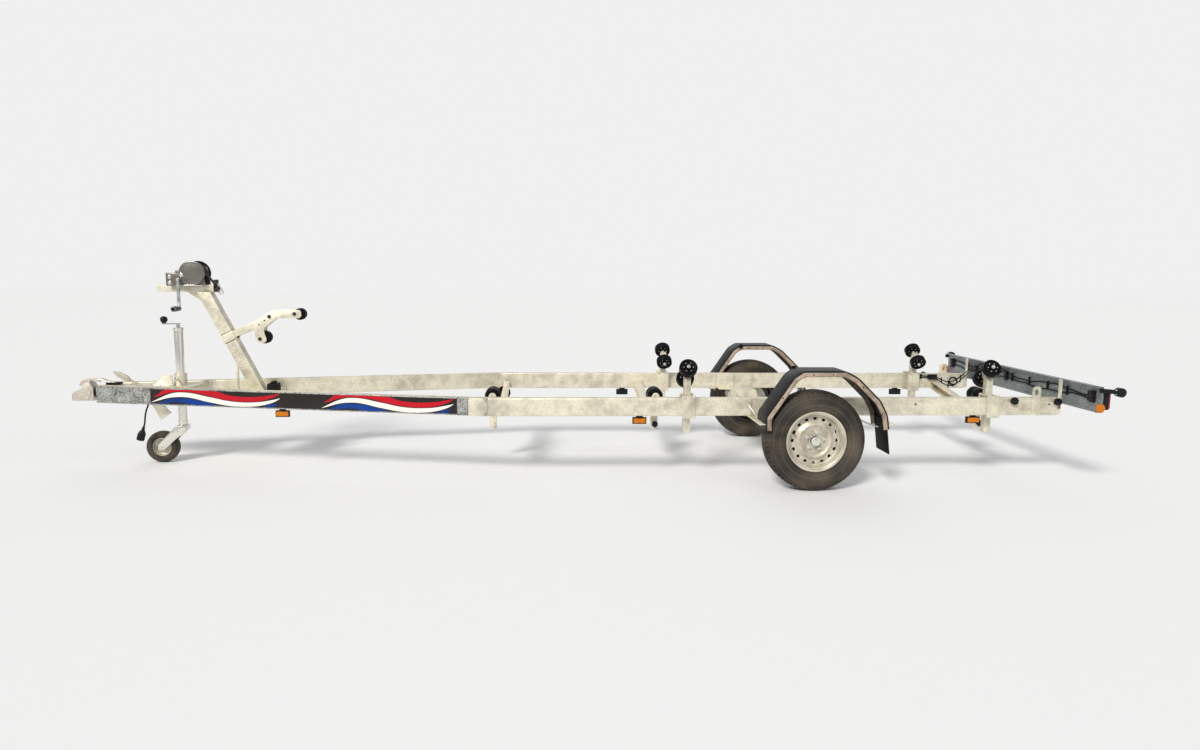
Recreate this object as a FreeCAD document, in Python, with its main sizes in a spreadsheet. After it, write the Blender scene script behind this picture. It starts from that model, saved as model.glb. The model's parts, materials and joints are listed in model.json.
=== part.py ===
import FreeCAD, Part
import math
import os
import sys
from types import SimpleNamespace

import Sketcher
from FreeCAD import Placement, Rotation, Vector

# A single-axle boat trailer for a hull of about seven metres. X runs towards the tail, Y towards the
# trailer's right-hand side and Z up. The origin lies on the ground under the middle of the trailer.

doc = FreeCAD.newDocument("boat_trailer")

# Driving sizes, in millimetres and degrees. A reach is a distance ahead of or behind the road axle.
SIZES = {
    # The whole trailer
    "nose_reach": 5054, "tail_reach": 1894, "overrun": 20, "seat_gap": 0.3, "running_gap": 0.05,
    # Rails and the drawbar legs that run together to the nose
    "rail_height": 120, "rail_width": 60, "rail_wall": 4, "rail_rounding": 8, "rail_spacing": 1308,
    "rail_top": 565,
    "rail_tail_reach": 1744, "bend_reach": 2090, "leg_nose_reach": 4835, "leg_nose_spacing": 166,
    "splice_length": 130, "splice_thickness": 5, "splice_height": 118, "splice_nib": 34,
    "rail_hole": 14, "rail_hole_reach": 757, "rail_hole_drop": 44,
    "eye_reach": 1589, "eye_width": 60, "eye_thickness": 8, "eye_rise": 76, "eye_slot_width": 25,
    "eye_slot_length": 42,
    # Cross-members, low in the middle so that the keel clears them
    "cross_width": 60, "cross_wall": 5, "cross_end_drop": 52, "cross_depth": 65, "cross_sag": 95,
    "cross_flat": 170, "cross_front_reach": 2045, "cross_middle_reach": 975, "cross_rear_reach": 1480,
    # Posts and forks of the keel rollers
    "keel_post": 50, "keel_post_wall": 4, "keel_post_foot": 232, "keel_fork_wall": 6,
    "keel_hub_height": 484,
    "keel_roller_diameter": 114, "keel_roller_length": 150, "keel_waist_share": 0.82, "keel_pin": 20,
    "keel_side_gap": 5, "keel_cheek_width": 50, "keel_knob": 38, "keel_knob_length": 26,
    "keel_knob_height": 275, "keel_guide_inset": 89, "keel_guide_thickness": 6, "keel_guide_foot": 365,
    "keel_guide_width": 54, "keel_guide_top": 596, "keel_guide_lean": 29, "keel_guide_lap": 30,
    # Torsion axle with trailing arms
    "axle_tube": 96, "axle_lead": 176, "axle_pad_length": 270, "axle_pad_thickness": 10,
    "axle_pad_width": 84, "arm_thickness": 34, "arm_inset": 748, "arm_eye": 104, "arm_hub_eye": 84,
    "stub_diameter": 35, "backplate_diameter": 250, "backplate_thickness": 6, "backplate_inset": 796,
    "cable_bracket_reach": 341, "cable_bracket_height": 530, "cable_bracket_width": 130,
    "cable_bracket_sheet": 4,
    # Road wheels, 14 inch rims
    "tyre_diameter": 650, "tyre_width": 185, "wheel_track": 1764, "bead_diameter": 356,
    "rim_flange": 390, "rim_width": 160, "rim_wall": 5, "rim_well": 322, "rim_lip": 10,
    "rim_offset": 30, "disc_wall": 6, "disc_bulge": 16, "disc_ring": 256, "disc_hub": 178, "disc_bore": 67,
    "vent_width": 18, "vent_length": 23, "vent_circle": 286,
    "tread_width": 128, "tyre_wall": 10,
    "drum_diameter": 236, "drum_depth": 56, "flange_diameter": 150, "cap_diameter": 62, "cap_length": 34,
    # Mudguards, flaps and stays
    "guard_width": 216, "guard_outer": 990, "guard_skin": 4, "guard_lip": 38,
    "flap_thickness": 6, "flap_bottom": 262, "flap_lap": 60,
    "stay_width": 40, "stay_thickness": 6,
    # Overrun device and coupling
    "housing_width": 84, "housing_height": 84, "housing_drop": 16, "housing_length": 430,
    "bellows_diameter": 82, "bellows_waist": 64, "coupling_width": 84, "coupling_height": 449,
    "coupling_tail_reach": 4891, "coupling_top": 128, "ball_diameter": 50, "ball_set_back": 56,
    "socket_depth": 20, "handle_width": 46, "handle_thickness": 9,
    "lever_thickness": 8, "lever_width": 26,
    "lever_root_reach": 4522, "lever_root_height": 534, "lever_tip_reach": 4741, "lever_tip_height": 656,
    "quadrant_thickness": 8, "relay_thickness": 12, "relay_inset": 60, "brake_rod": 8,
    "brake_rod_height": 434, "brake_rod_inset": 130, "brake_rod_reach": 4440,
    # Jockey wheel
    "jockey_reach": 4305, "jockey_tube": 60, "jockey_leg": 50, "jockey_tube_foot": 276,
    "jockey_tube_top": 965, "jockey_trail": 144, "jockey_wheel": 225, "jockey_wheel_width": 70,
    "jockey_rim": 130, "jockey_pin": 16, "jockey_fork_wall": 6, "jockey_fork_gap": 5,
    "jockey_fork_top": 267,
    "jockey_crank_rise": 22, "jockey_knob": 24, "jockey_knob_length": 46, "jockey_crank_reach": 95,
    "clamp_height": 84, "clamp_wall": 12, "plate_thickness": 8, "plate_tail_reach": 4190,
    # Winch post
    "post_side": 80, "post_wall": 4, "post_foot_reach": 3753, "post_foot_height": 508, "post_lean": 26.4,
    "post_top_height": 1217, "head_side": 50, "head_nose_reach": 4423, "head_tail_reach": 4040,
    "foot_plate_thickness": 8, "foot_plate_nose_reach": 3945, "foot_plate_tail_reach": 3660,
    "foot_beam_side": 60, "brace_width": 16, "brace_reach": 3908, "brace_top_height": 697,
    # Winch
    "winch_reach": 4170, "winch_height": 1346, "winch_cover": 172, "winch_cover_depth": 16,
    "winch_plate": 5, "winch_gap": 92, "drum_wound": 132, "drum_pin": 18,
    "drum_side_gap": 5, "gearbox_nose_reach": 4342, "gearbox_height": 88, "crank_reach": 4250,
    "crank_height": 1304, "crank_length": 200, "crank_width": 22, "crank_thickness": 6, "crank_inset": 96,
    "crank_grip": 34, "crank_grip_length": 96, "strap_width": 50, "strap_thickness": 4,
    # Bow arm
    "arm_gap": 66, "arm_plate": 6, "arm_strip": 56, "bow_upper": 84, "bow_lower": 90, "bow_pin": 16,
    "bow_side_gap": 5, "band_height": 62, "band_wall": 5,
    # Side roller stations
    "side_front_reach": 778, "side_rear_reach": 1292, "side_post": 45, "side_post_wall": 4,
    "side_post_foot": 318, "side_head_drop": 38, "side_tilt": 35, "side_centre_inset": 574,
    "side_post_rise": 96, "side_roller": 122, "side_roller_width": 52, "side_roller_spread": 146,
    "side_shaft": 24, "side_head": 44, "side_plate_width": 90, "side_plate_height": 150,
    "side_plate_thickness": 8, "side_bolt": 10, "side_bolt_inset": 12,
    # Light board
    "board_reach": 1806, "board_length": 2110, "board_foot": 525, "board_top": 690, "board_sheet": 3,
    "board_lip": 32, "board_tube": 40, "board_tube_length": 360,
    "lamp_width": 92, "lamp_depth": 40, "lamp_height": 128, "lens_depth": 12,
    "marker_height": 667, "marker_span": 2300, "marker_arm": 26, "marker_lamp": 58, "marker_lamp_depth": 44,
    "reflector": 58, "reflector_depth": 8,
    # Side markers under the rails
    "side_marker_length": 92, "side_marker_height": 44, "side_marker_depth": 24, "side_marker_drop": 36,
    "side_marker_front_reach": 3495, "side_marker_middle_reach": 1100, "side_marker_rear_reach": 1170,
    # Plug and its lead
    "cord_diameter": 11, "gland_diameter": 20, "plug_diameter": 52, "plug_length": 98,
}

VENTS = 16
EAR_SHARE = 0.88
SIDES = {"left": -1, "right": 1}


class Size:
    """A size that keeps its formula, so one sum both places a piece and binds it to the sheet."""

    def __init__(self, number, formula):
        self.number = float(number)
        self.formula = formula

    def __float__(self):
        return self.number

    def __add__(self, other):
        other = as_size(other)
        return Size(self.number + other.number, f"({self.formula} + {other.formula})")

    def __sub__(self, other):
        other = as_size(other)
        return Size(self.number - other.number, f"({self.formula} - {other.formula})")

    def __mul__(self, other):
        other = as_size(other)
        return Size(self.number * other.number, f"({self.formula} * {other.formula})")

    def __truediv__(self, other):
        other = as_size(other)
        return Size(self.number / other.number, f"({self.formula} / {other.formula})")

    def __neg__(self):
        return Size(-self.number, f"(-1 * {self.formula})")

    def __rsub__(self, other):
        return as_size(other) - self

    __radd__ = __add__
    __rmul__ = __mul__


def as_size(value):
    """A Size made of a plain number, or the Size itself."""
    return value if isinstance(value, Size) else Size(value, f"{float(value):.9g}")


def sine(angle):
    return Size(math.sin(math.radians(angle.number)), f"sin({angle.formula})")


def cosine(angle):
    return Size(math.cos(math.radians(angle.number)), f"cos({angle.formula})")


def tangent(angle):
    return Size(math.tan(math.radians(angle.number)), f"tan({angle.formula})")


def arctangent(ratio):
    return Size(math.degrees(math.atan(ratio.number)), f"atan({ratio.formula})")


sheet = doc.addObject("Spreadsheet::Sheet", "Sizes")
for row, (alias, number) in enumerate(SIZES.items(), start=1):
    sheet.set(f"A{row}", alias)
    sheet.set(f"B{row}", str(number))
    sheet.setAlias(f"B{row}", alias)
doc.recompute()
s = SimpleNamespace(**{alias: Size(sheet.get(alias), f"Sizes.{alias}") for alias in SIZES})

axle_x = (s.nose_reach - s.tail_reach) / 2
axle_z = s.tyre_diameter / 2
rail_foot = s.rail_top - s.rail_height
rail_inner = (s.rail_spacing - s.rail_width) / 2
rail_outer = (s.rail_spacing + s.rail_width) / 2
leg_slope = (s.rail_spacing - s.leg_nose_spacing) / 2 / (s.leg_nose_reach - s.bend_reach)
leg_half = s.rail_width / 2 / cosine(arctangent(leg_slope))
NODES = {}


def leg_centre(reach):
    """How far a drawbar leg's centre lies from the middle plane at a reach ahead of the axle."""
    return s.leg_nose_spacing / 2 + (s.leg_nose_reach - reach) * leg_slope


# Helpers that draw, pad, cut and turn in the way each sub-part needs
def new_body(label, x=axle_x, y=0, z=0, node=True):
    """An empty body whose frame stands at x, y, z."""
    body = doc.addObject("PartDesign::Body", label)
    body.Label = label
    body.AllowCompound = True
    place(body, x, y, z)
    if node:
        NODES[label] = body
    return body


def place(item, x, y, z):
    for letter, value in zip("xyz", (x, y, z)):
        value = as_size(value)
        setattr(item.Placement.Base, letter, value.number)
        if value.number:
            item.setExpression(f"Placement.Base.{letter}", value.formula)


def turn_about(item, axis, angle):
    """Turn a body about an axis through its own frame's origin."""
    item.Placement = Placement(item.Placement.Base, Rotation(Vector(*axis), angle.number))
    item.setExpression("Placement.Rotation.Angle", angle.formula)


def sketch_on(body, plane, at=0):
    """A sketch on one of the body's origin planes, moved along that plane's own axis of the body."""
    sketch = body.newObject("Sketcher::SketchObject", f"{body.Label}_sketch")
    found = [part for part in body.Origin.OriginFeatures if part.Role == f"{plane}_Plane"]
    sketch.AttachmentSupport = [(found[0], "")]
    sketch.MapMode = "FlatFace"
    at = -as_size(at) if plane == "XZ" else as_size(at)
    if at.number:
        sketch.setExpression("AttachmentOffset.Base.z", at.formula)
    return sketch


def pin_point(sketch, geometry, point, x, y):
    """Hold one point of a drawn edge at x, y from the sketch's origin."""
    for kind, value in (("DistanceX", as_size(x)), ("DistanceY", as_size(y))):
        index = sketch.addConstraint(Sketcher.Constraint(kind, -1, 1, geometry, point, value.number))
        if value.formula.startswith("(") or value.formula.startswith("Sizes"):
            sketch.setExpression(f"Constraints[{index}]", value.formula)


def draw_outline(sketch, points):
    """A closed run of straight edges through points."""
    corners = [Vector(float(x), float(y), 0) for x, y in points]
    first = sketch.GeometryCount
    count = len(corners)
    for index in range(count):
        sketch.addGeometry(Part.LineSegment(corners[index], corners[(index + 1) % count]), False)
    for index in range(count):
        sketch.addConstraint(
            Sketcher.Constraint("Coincident", first + index, 2, first + (index + 1) % count, 1))
    for index, (x, y) in enumerate(points):
        pin_point(sketch, first + index, 1, x, y)


def draw_circle(sketch, x, y, diameter):
    radius = as_size(diameter) / 2
    centre = Vector(float(x), float(y), 0)
    index = sketch.addGeometry(Part.Circle(centre, Vector(0, 0, 1), radius.number), False)
    pin_point(sketch, index, 3, x, y)
    held = sketch.addConstraint(Sketcher.Constraint("Radius", index, radius.number))
    sketch.setExpression(f"Constraints[{held}]", radius.formula)


def draw_slot(sketch, x, y, length, width):
    """A hole with round ends, long along the sketch's own upright."""
    radius = as_size(width) / 2
    straight = (as_size(length) - width) / 2
    r, h = radius.number, straight.number
    middle = Vector(float(x), float(y), 0)
    out = Vector(0, 0, 1)
    upper = Part.Circle(middle + Vector(0, h, 0), out, r)
    lower = Part.Circle(middle - Vector(0, h, 0), out, r)
    first = sketch.addGeometry(Part.ArcOfCircle(upper, 0, math.pi), False)
    sketch.addGeometry(Part.LineSegment(middle + Vector(-r, h, 0), middle + Vector(-r, -h, 0)), False)
    sketch.addGeometry(Part.ArcOfCircle(lower, math.pi, 2 * math.pi), False)
    sketch.addGeometry(Part.LineSegment(middle + Vector(r, -h, 0), middle + Vector(r, h, 0)), False)
    for index in range(4):
        sketch.addConstraint(
            Sketcher.Constraint("Tangent", first + index, 2, first + (index + 1) % 4, 1))
    pin_point(sketch, first, 3, x, y + straight)
    pin_point(sketch, first + 2, 3, x, y - straight)
    held = sketch.addConstraint(Sketcher.Constraint("Radius", first, r))
    sketch.setExpression(f"Constraints[{held}]", radius.formula)
    sketch.addConstraint(Sketcher.Constraint("Equal", first, first + 2))


def slab(body, kind, sketch, thickness):
    """A pad or pocket that reaches half of its thickness to each side of its sketch."""
    feature = body.newObject(f"PartDesign::{kind}", f"{body.Label}_{kind.lower()}")
    feature.Profile = sketch
    feature.SideType = "Symmetric"
    feature.setExpression("Length", as_size(thickness).formula)
    body.Tip = feature
    return feature


def add_plate(body, plane, at, thickness, points):
    sketch = sketch_on(body, plane, at)
    draw_outline(sketch, points)
    return slab(body, "Pad", sketch, thickness)


def cut_plate(body, plane, at, thickness, points):
    sketch = sketch_on(body, plane, at)
    draw_outline(sketch, points)
    return slab(body, "Pocket", sketch, thickness)


def add_round(body, plane, at, thickness, x, y, diameter):
    sketch = sketch_on(body, plane, at)
    draw_circle(sketch, x, y, diameter)
    return slab(body, "Pad", sketch, thickness)


def cut_round(body, plane, at, thickness, x, y, diameter):
    sketch = sketch_on(body, plane, at)
    draw_circle(sketch, x, y, diameter)
    return slab(body, "Pocket", sketch, thickness)


def round_long_edges(body, radius, shortest):
    """Round those edges of the body's last feature that are longer than a size."""
    last = body.Tip
    doc.recompute()
    edges = [f"Edge{number}" for number, edge in enumerate(last.Shape.Edges, start=1)
             if edge.Length > shortest.number]
    rounding = body.newObject("PartDesign::Fillet", f"{body.Label}_rounding")
    rounding.Base = (last, edges)
    rounding.setExpression("Radius", radius.formula)
    body.Tip = rounding


def add_turned(body, plane, points, axis="V_Axis", x=0):
    """A ring or shaft turned from a half section about the sketch's own axis."""
    sketch = sketch_on(body, plane, x)
    draw_outline(sketch, points)
    feature = body.newObject("PartDesign::Revolution", f"{body.Label}_turned")
    feature.Profile = sketch
    feature.ReferenceAxis = (sketch, [axis])
    feature.Angle = 360
    body.Tip = feature
    return feature


def cut_turned(body, plane, points, axis="V_Axis", x=0):
    sketch = sketch_on(body, plane, x)
    draw_outline(sketch, points)
    feature = body.newObject("PartDesign::Groove", f"{body.Label}_groove")
    feature.Profile = sketch
    feature.ReferenceAxis = (sketch, [axis])
    feature.Angle = 360
    body.Tip = feature
    return feature


def repeat_round(body, feature, role, count):
    """Repeat a feature round one of the body's origin axes."""
    pattern = body.newObject("PartDesign::PolarPattern", f"{body.Label}_pattern")
    found = [part for part in body.Origin.OriginFeatures if part.Role == role]
    pattern.Originals = [feature]
    pattern.Axis = (found[0], [""])
    pattern.Angle = 360
    pattern.Occurrences = count
    body.Tip = pattern
    return pattern


def box_outline(x0, y0, x1, y1):
    return [(x0, y0), (x1, y0), (x1, y1), (x0, y1)]


def joined(label, pieces):
    """One node of several solids that lie on the same rigid frame."""
    item = doc.addObject("Part::Compound", label)
    item.Label = label
    item.Links = pieces
    NODES[label] = item
    return item


# Rails, with the holes, lashing eyes and open tails
def make_rail(name, side):
    body = new_body(f"rail_{name}")
    kink = s.rail_width / 2 * tangent(arctangent(leg_slope) / 2)
    centre = s.rail_spacing / 2

    def plan(half, tail):
        share = half / (s.rail_width / 2)
        return [(-s.bend_reach - kink * share, (centre + half) * side),
                (-s.bend_reach + kink * share, (centre - half) * side),
                (tail, (centre - half) * side), (tail, (centre + half) * side)]

    middle = s.rail_top - s.rail_height / 2
    add_plate(body, "XY", middle, s.rail_height, plan(s.rail_width / 2, s.rail_tail_reach))
    round_long_edges(body, s.rail_rounding, s.rail_height * 2)
    inner = s.rail_width / 2 - s.rail_wall
    cut_plate(body, "XY", middle, s.rail_height - s.rail_wall * 2,
              plan(inner, s.rail_tail_reach + s.overrun))
    for reach in (s.rail_hole_reach, s.rail_tail_reach - s.rail_width):
        cut_round(body, "XZ", centre * side, s.rail_width + s.overrun, reach,
                  s.rail_top - s.rail_hole_drop, s.rail_hole)


def make_eye(name, side):
    """Flat bar up the rail's outer side, with a long hole for a lashing strap above the rail."""
    body = new_body(f"lashing_eye_{name}", node=False)
    eye_y = (rail_outer + s.eye_thickness / 2) * side
    half_eye = s.eye_width / 2
    nib = s.eye_width / 4
    top = s.rail_top + s.eye_rise
    add_plate(body, "XZ", eye_y, s.eye_thickness, [
        (s.eye_reach - half_eye, rail_foot), (s.eye_reach + half_eye, rail_foot),
        (s.eye_reach + half_eye, top - nib), (s.eye_reach + half_eye - nib, top),
        (s.eye_reach - half_eye + nib, top), (s.eye_reach - half_eye, top - nib)])
    slot = s.rail_top + s.eye_rise / 2
    straight = (s.eye_slot_length - s.eye_slot_width) / 2
    cut_plate(body, "XZ", eye_y, s.eye_thickness + s.overrun, box_outline(
        s.eye_reach - s.eye_slot_width / 2, slot - straight,
        s.eye_reach + s.eye_slot_width / 2, slot + straight))
    for height in (slot - straight, slot + straight):
        cut_round(body, "XZ", eye_y, s.eye_thickness + s.overrun, s.eye_reach, height, s.eye_slot_width)
    return body


# Drawbar legs, from the bend to the nose, with a splice plate ahead of the bend
def make_leg(name, side):
    body = new_body(f"drawbar_{name}")
    kink = s.rail_width / 2 * tangent(arctangent(leg_slope) / 2)
    centre = s.rail_spacing / 2

    def plan(half, extra):
        share = half / (s.rail_width / 2)
        nose = s.leg_nose_reach + extra
        return [(-s.bend_reach - kink * share, (centre + half) * side),
                (-s.bend_reach + kink * share, (centre - half) * side),
                (-nose, (leg_centre(nose) - leg_half * share) * side),
                (-nose, (leg_centre(nose) + leg_half * share) * side)]

    middle = s.rail_top - s.rail_height / 2
    add_plate(body, "XY", middle, s.rail_height, plan(s.rail_width / 2, 0))
    round_long_edges(body, s.rail_rounding, s.rail_height * 2)
    inner = s.rail_width / 2 - s.rail_wall
    cut_plate(body, "XY", middle, s.rail_height - s.rail_wall * 2, plan(inner, s.overrun))
    cap = s.leg_nose_reach - s.rail_wall
    cap_inner = leg_centre(cap) - leg_half + s.rail_rounding
    cap_outer = leg_centre(s.leg_nose_reach) + leg_half - s.rail_rounding
    add_plate(body, "YZ", s.rail_wall / 2 - s.leg_nose_reach, s.rail_wall, box_outline(
        cap_inner * side, rail_foot + s.rail_wall, cap_outer * side, s.rail_top - s.rail_wall))


def make_splice(name, side):
    """Plate over the outside of a leg just ahead of the bend, its rear end cut to a point."""
    kink = s.rail_width / 2 * tangent(arctangent(leg_slope) / 2)
    body = new_body(f"splice_{name}", axle_x - s.bend_reach - kink, rail_outer * side, node=False)
    turn_about(body, (0, 0, 1), arctangent(leg_slope) * side)
    low = s.rail_top - s.rail_height / 2 - s.splice_height / 2
    high = low + s.splice_height
    nib = s.splice_nib
    add_plate(body, "XZ", s.splice_thickness / 2 * side, s.splice_thickness, [
        (-s.splice_length, low), (-nib, low), (0, low + nib), (0, high - nib), (-nib, high),
        (-s.splice_length, high)])
    return body


# Cross-members bent down to the middle, open channels
def cross_outline(low, high, half_span):
    flat = s.cross_flat / 2
    sag = s.cross_sag
    return [(-half_span, low), (-flat, low - sag), (flat, low - sag), (half_span, low),
            (half_span, high), (flat, high - sag), (-flat, high - sag), (-half_span, high)]


def make_cross(name, x, opening_side):
    body = new_body(f"cross_{name}")
    high = s.rail_top - s.cross_end_drop
    low = high - s.cross_depth
    add_plate(body, "YZ", x, s.cross_width, cross_outline(low, high, rail_inner))
    cut_plate(body, "YZ", x + s.cross_wall * opening_side, s.cross_width, cross_outline(
        low + s.cross_wall, high - s.cross_wall, rail_inner + s.overrun))


# Keel roller stations: a post clamped to the cross-member, a fork and a roller on a pin
def make_keel_post(name, cross_x, side):
    """The post stands on the side of the cross-member that the sign gives."""
    body = new_body(f"keel_post_{name}", node=False)
    x = keel_x(cross_x, side)
    roller_half = s.keel_roller_length / 2 + s.keel_side_gap
    wall = s.keel_fork_wall
    fork_foot = s.keel_hub_height - s.keel_roller_diameter / 2 - s.keel_side_gap - wall
    half = s.keel_post / 2
    foot = s.keel_post_foot
    add_plate(body, "XZ", 0, s.keel_post, box_outline(x - half, foot, x + half, fork_foot))
    inner = half - s.keel_post_wall
    cut_plate(body, "XZ", 0, inner * 2, box_outline(x - inner, foot - s.overrun, x + inner, fork_foot))
    add_plate(body, "YZ", x, s.keel_cheek_width, box_outline(
        -roller_half - wall, fork_foot, roller_half + wall, fork_foot + wall))
    cheek = s.keel_cheek_width / 2
    for sign in (-1, 1):
        y = (roller_half + wall / 2) * sign
        add_plate(body, "XZ", y, wall, [
            (x - cheek, fork_foot), (x + cheek, fork_foot), (x + cheek, s.keel_hub_height),
            (x + cheek / 2, s.keel_hub_height + cheek), (x - cheek / 2, s.keel_hub_height + cheek),
            (x - cheek, s.keel_hub_height)])
    add_round(body, "XZ", 0, (roller_half + wall) * 2, x, s.keel_hub_height, s.keel_pin)
    knob_y = -(half + s.keel_knob_length / 2)
    add_round(body, "XZ", knob_y, s.keel_knob_length, x, s.keel_knob_height, s.keel_knob)
    return body


def make_keel_guide():
    """Flat upright behind the front cross-member that keeps the keel beside its roller."""
    body = new_body("keel_guide", node=False)
    face = s.cross_width / 2 - s.cross_front_reach
    y = -s.keel_guide_inset
    wall = s.keel_guide_thickness
    foot = s.keel_guide_foot
    lap = s.keel_guide_lap
    over = rail_foot + lap
    left = face - s.keel_guide_width / 2
    add_plate(body, "XZ", y, wall, [
        (face, foot), (face + lap, foot), (face + s.keel_guide_width / 2, over),
        (face + s.keel_guide_width / 2 + s.keel_guide_lean / 2, s.keel_guide_top),
        (left + s.keel_guide_lean, s.keel_guide_top), (left, over), (left, over - lap * 1.6),
        (face, over - lap * 1.6)])
    add_plate(body, "YZ", face + wall / 2, wall, box_outline(y - lap, foot, y + lap, foot + lap))
    top_x = left + s.keel_guide_lean
    add_plate(body, "XY", s.keel_guide_top - wall / 2, wall, box_outline(
        top_x, y, top_x + s.keel_guide_width - s.keel_guide_lean / 2, y + lap))
    return body


def keel_x(cross_x, side):
    """Where a keel post stands beside its cross-member."""
    return cross_x + (s.cross_width + s.keel_post) / 2 * side


# Where a keel roller is at its widest, as shares of half its length
KEEL_CROWN_SHARES = (0.4, 0.72)


def make_keel_roller(name, cross_x, side):
    body = new_body(f"keel_roller_{name}", axle_x + keel_x(cross_x, side), 0, s.keel_hub_height)
    outer = s.keel_roller_diameter / 2
    waist = outer * s.keel_waist_share
    half = s.keel_roller_length / 2
    bore = s.keel_pin / 2 + s.running_gap
    near, far = (half * share for share in KEEL_CROWN_SHARES)
    add_turned(body, "XY", [
        (bore, -half), (waist, -half), (outer, -far), (outer, -near), (waist, 0), (outer, near),
        (outer, far), (waist, half), (bore, half)])


# Torsion axle: tube, pads under the rails, trailing arms, stub axles and backplates
def make_axle():
    body = new_body("axle")
    tube = s.axle_tube
    z = rail_foot - s.axle_pad_thickness - tube / 2
    x = -s.axle_lead
    cut = tube / 4
    half = tube / 2
    add_plate(body, "XZ", 0, s.arm_inset * 2, [
        (x - half, z - half + cut), (x - half + cut, z - half), (x + half - cut, z - half),
        (x + half, z - half + cut), (x + half, z + half - cut), (x + half - cut, z + half),
        (x - half + cut, z + half), (x - half, z + half - cut)])
    for side in SIDES.values():
        add_plate(body, "XY", rail_foot - s.axle_pad_thickness / 2, s.axle_pad_thickness, box_outline(
            x - s.axle_pad_length / 2, (s.rail_spacing / 2 - s.axle_pad_width / 2) * side,
            x + s.axle_pad_length / 2, (s.rail_spacing / 2 + s.axle_pad_width / 2) * side))
        arm_y = (s.arm_inset + s.arm_thickness / 2) * side
        eye = s.arm_eye / 2
        hub_eye = s.arm_hub_eye / 2
        add_plate(body, "XZ", arm_y, s.arm_thickness, [
            (x, z + eye), (x, z - eye), (0, axle_z - hub_eye), (0, axle_z + hub_eye)])
        add_round(body, "XZ", arm_y, s.arm_thickness, x, z, s.arm_eye)
        add_round(body, "XZ", arm_y, s.arm_thickness, 0, axle_z, s.arm_hub_eye)
        root = s.arm_inset + s.arm_thickness
        add_round(body, "XZ", (s.backplate_inset + root) / 2 * side, s.backplate_inset - root,
                  0, axle_z, s.arm_hub_eye)
        add_round(body, "XZ", (s.backplate_inset + s.backplate_thickness / 2) * side, s.backplate_thickness,
                  0, axle_z, s.backplate_diameter)
        stub_end = hub_face - s.cap_length / 2
        add_round(body, "XZ", (s.backplate_inset + stub_end) / 2 * side, stub_end - s.backplate_inset,
                  0, axle_z, s.stub_diameter)
    top = z + half
    reach = -s.cable_bracket_reach
    high = s.cable_bracket_height
    sheet_y = (s.cable_bracket_width - s.cable_bracket_sheet) / 2
    for sign in (-1, 1):
        add_plate(body, "XZ", sheet_y * sign, s.cable_bracket_sheet, [
            (x - half + cut, top), (x + half - cut, top), (x, high), (reach, high),
            (reach, top + cut * 2)])
    add_plate(body, "XY", high - s.cable_bracket_sheet / 2, s.cable_bracket_sheet, box_outline(
        reach, -s.cable_bracket_width / 2, x, s.cable_bracket_width / 2))
    end = s.brake_rod_inset + s.brake_rod
    add_plate(body, "YZ", reach + s.cable_bracket_sheet / 2, s.cable_bracket_sheet, box_outline(
        -end, s.brake_rod_height - s.brake_rod, sheet_y, high))


hub_face = s.wheel_track / 2 + s.rim_offset


# Road wheels. In their sections the first number is a radius and the second grows outboard
def outboard(points, side):
    return [(radius, across * side) for radius, across in points]


def make_hub(name, side):
    body = new_body(f"hub_{name}", axle_x, s.wheel_track / 2 * side, axle_z)
    face = s.rim_offset
    drum_in = s.backplate_inset + s.backplate_thickness + s.keel_side_gap - s.wheel_track / 2
    drum_out = drum_in + s.drum_depth
    bore = s.stub_diameter / 2 + s.running_gap
    drum = s.drum_diameter / 2
    cap = s.cap_diameter / 2
    end = face + s.disc_wall + s.cap_length
    add_turned(body, "XY", outboard([
        (bore, drum_in), (cap + s.disc_wall, drum_in), (cap + s.disc_wall, drum_out - s.disc_wall * 2),
        (drum - s.disc_wall, drum_out - s.disc_wall * 2), (drum - s.disc_wall, drum_in), (drum, drum_in),
        (drum, drum_out), (s.flange_diameter / 2, drum_out), (s.flange_diameter / 2, face), (cap, face),
        (cap, end - s.disc_wall), (cap - s.disc_wall, end), (0, end), (0, end - s.cap_length * 0.6),
        (bore, end - s.cap_length * 0.6)], side))


def make_rim(name, side):
    body = new_body(f"rim_{name}", axle_x, s.wheel_track / 2 * side, axle_z)
    flange = s.rim_flange / 2
    seat = s.bead_diameter / 2
    well = s.rim_well / 2
    wall = s.rim_wall
    half = s.rim_width / 2
    lip = s.rim_lip
    face = s.rim_offset
    ledge = s.rim_width / 8
    disc = s.disc_wall
    ring = s.disc_ring / 2
    hub = s.disc_hub / 2
    bore = s.disc_bore / 2
    bulge = s.disc_bulge
    inner = well - wall
    add_turned(body, "XY", outboard([
        (seat, -half + lip), (flange, -half + lip), (flange, -half), (flange - wall, -half),
        (seat - wall, -half + lip), (seat - wall, -half + ledge * 2), (inner, -half + ledge * 3),
        (inner, face - disc), (ring, face - disc), (hub + bulge, face + bulge - disc), (hub, face),
        (bore, face), (bore, face + disc), (hub, face + disc), (hub + bulge, face + bulge), (ring, face),
        (inner, face), (seat - wall, face + ledge), (seat - wall, half - lip), (flange - wall, half),
        (flange, half), (flange, half - lip), (seat, half - lip), (seat, face + ledge - wall),
        (well, face - wall), (well, -half + ledge * 3), (seat, -half + ledge * 2)], side))
    vent = sketch_on(body, "XZ", face * side)
    draw_slot(vent, s.vent_circle / 2, 0, s.vent_length, s.vent_width)
    repeat_round(body, slab(body, "Pocket", vent, s.disc_bulge * 2), "Y_Axis", VENTS)


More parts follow.
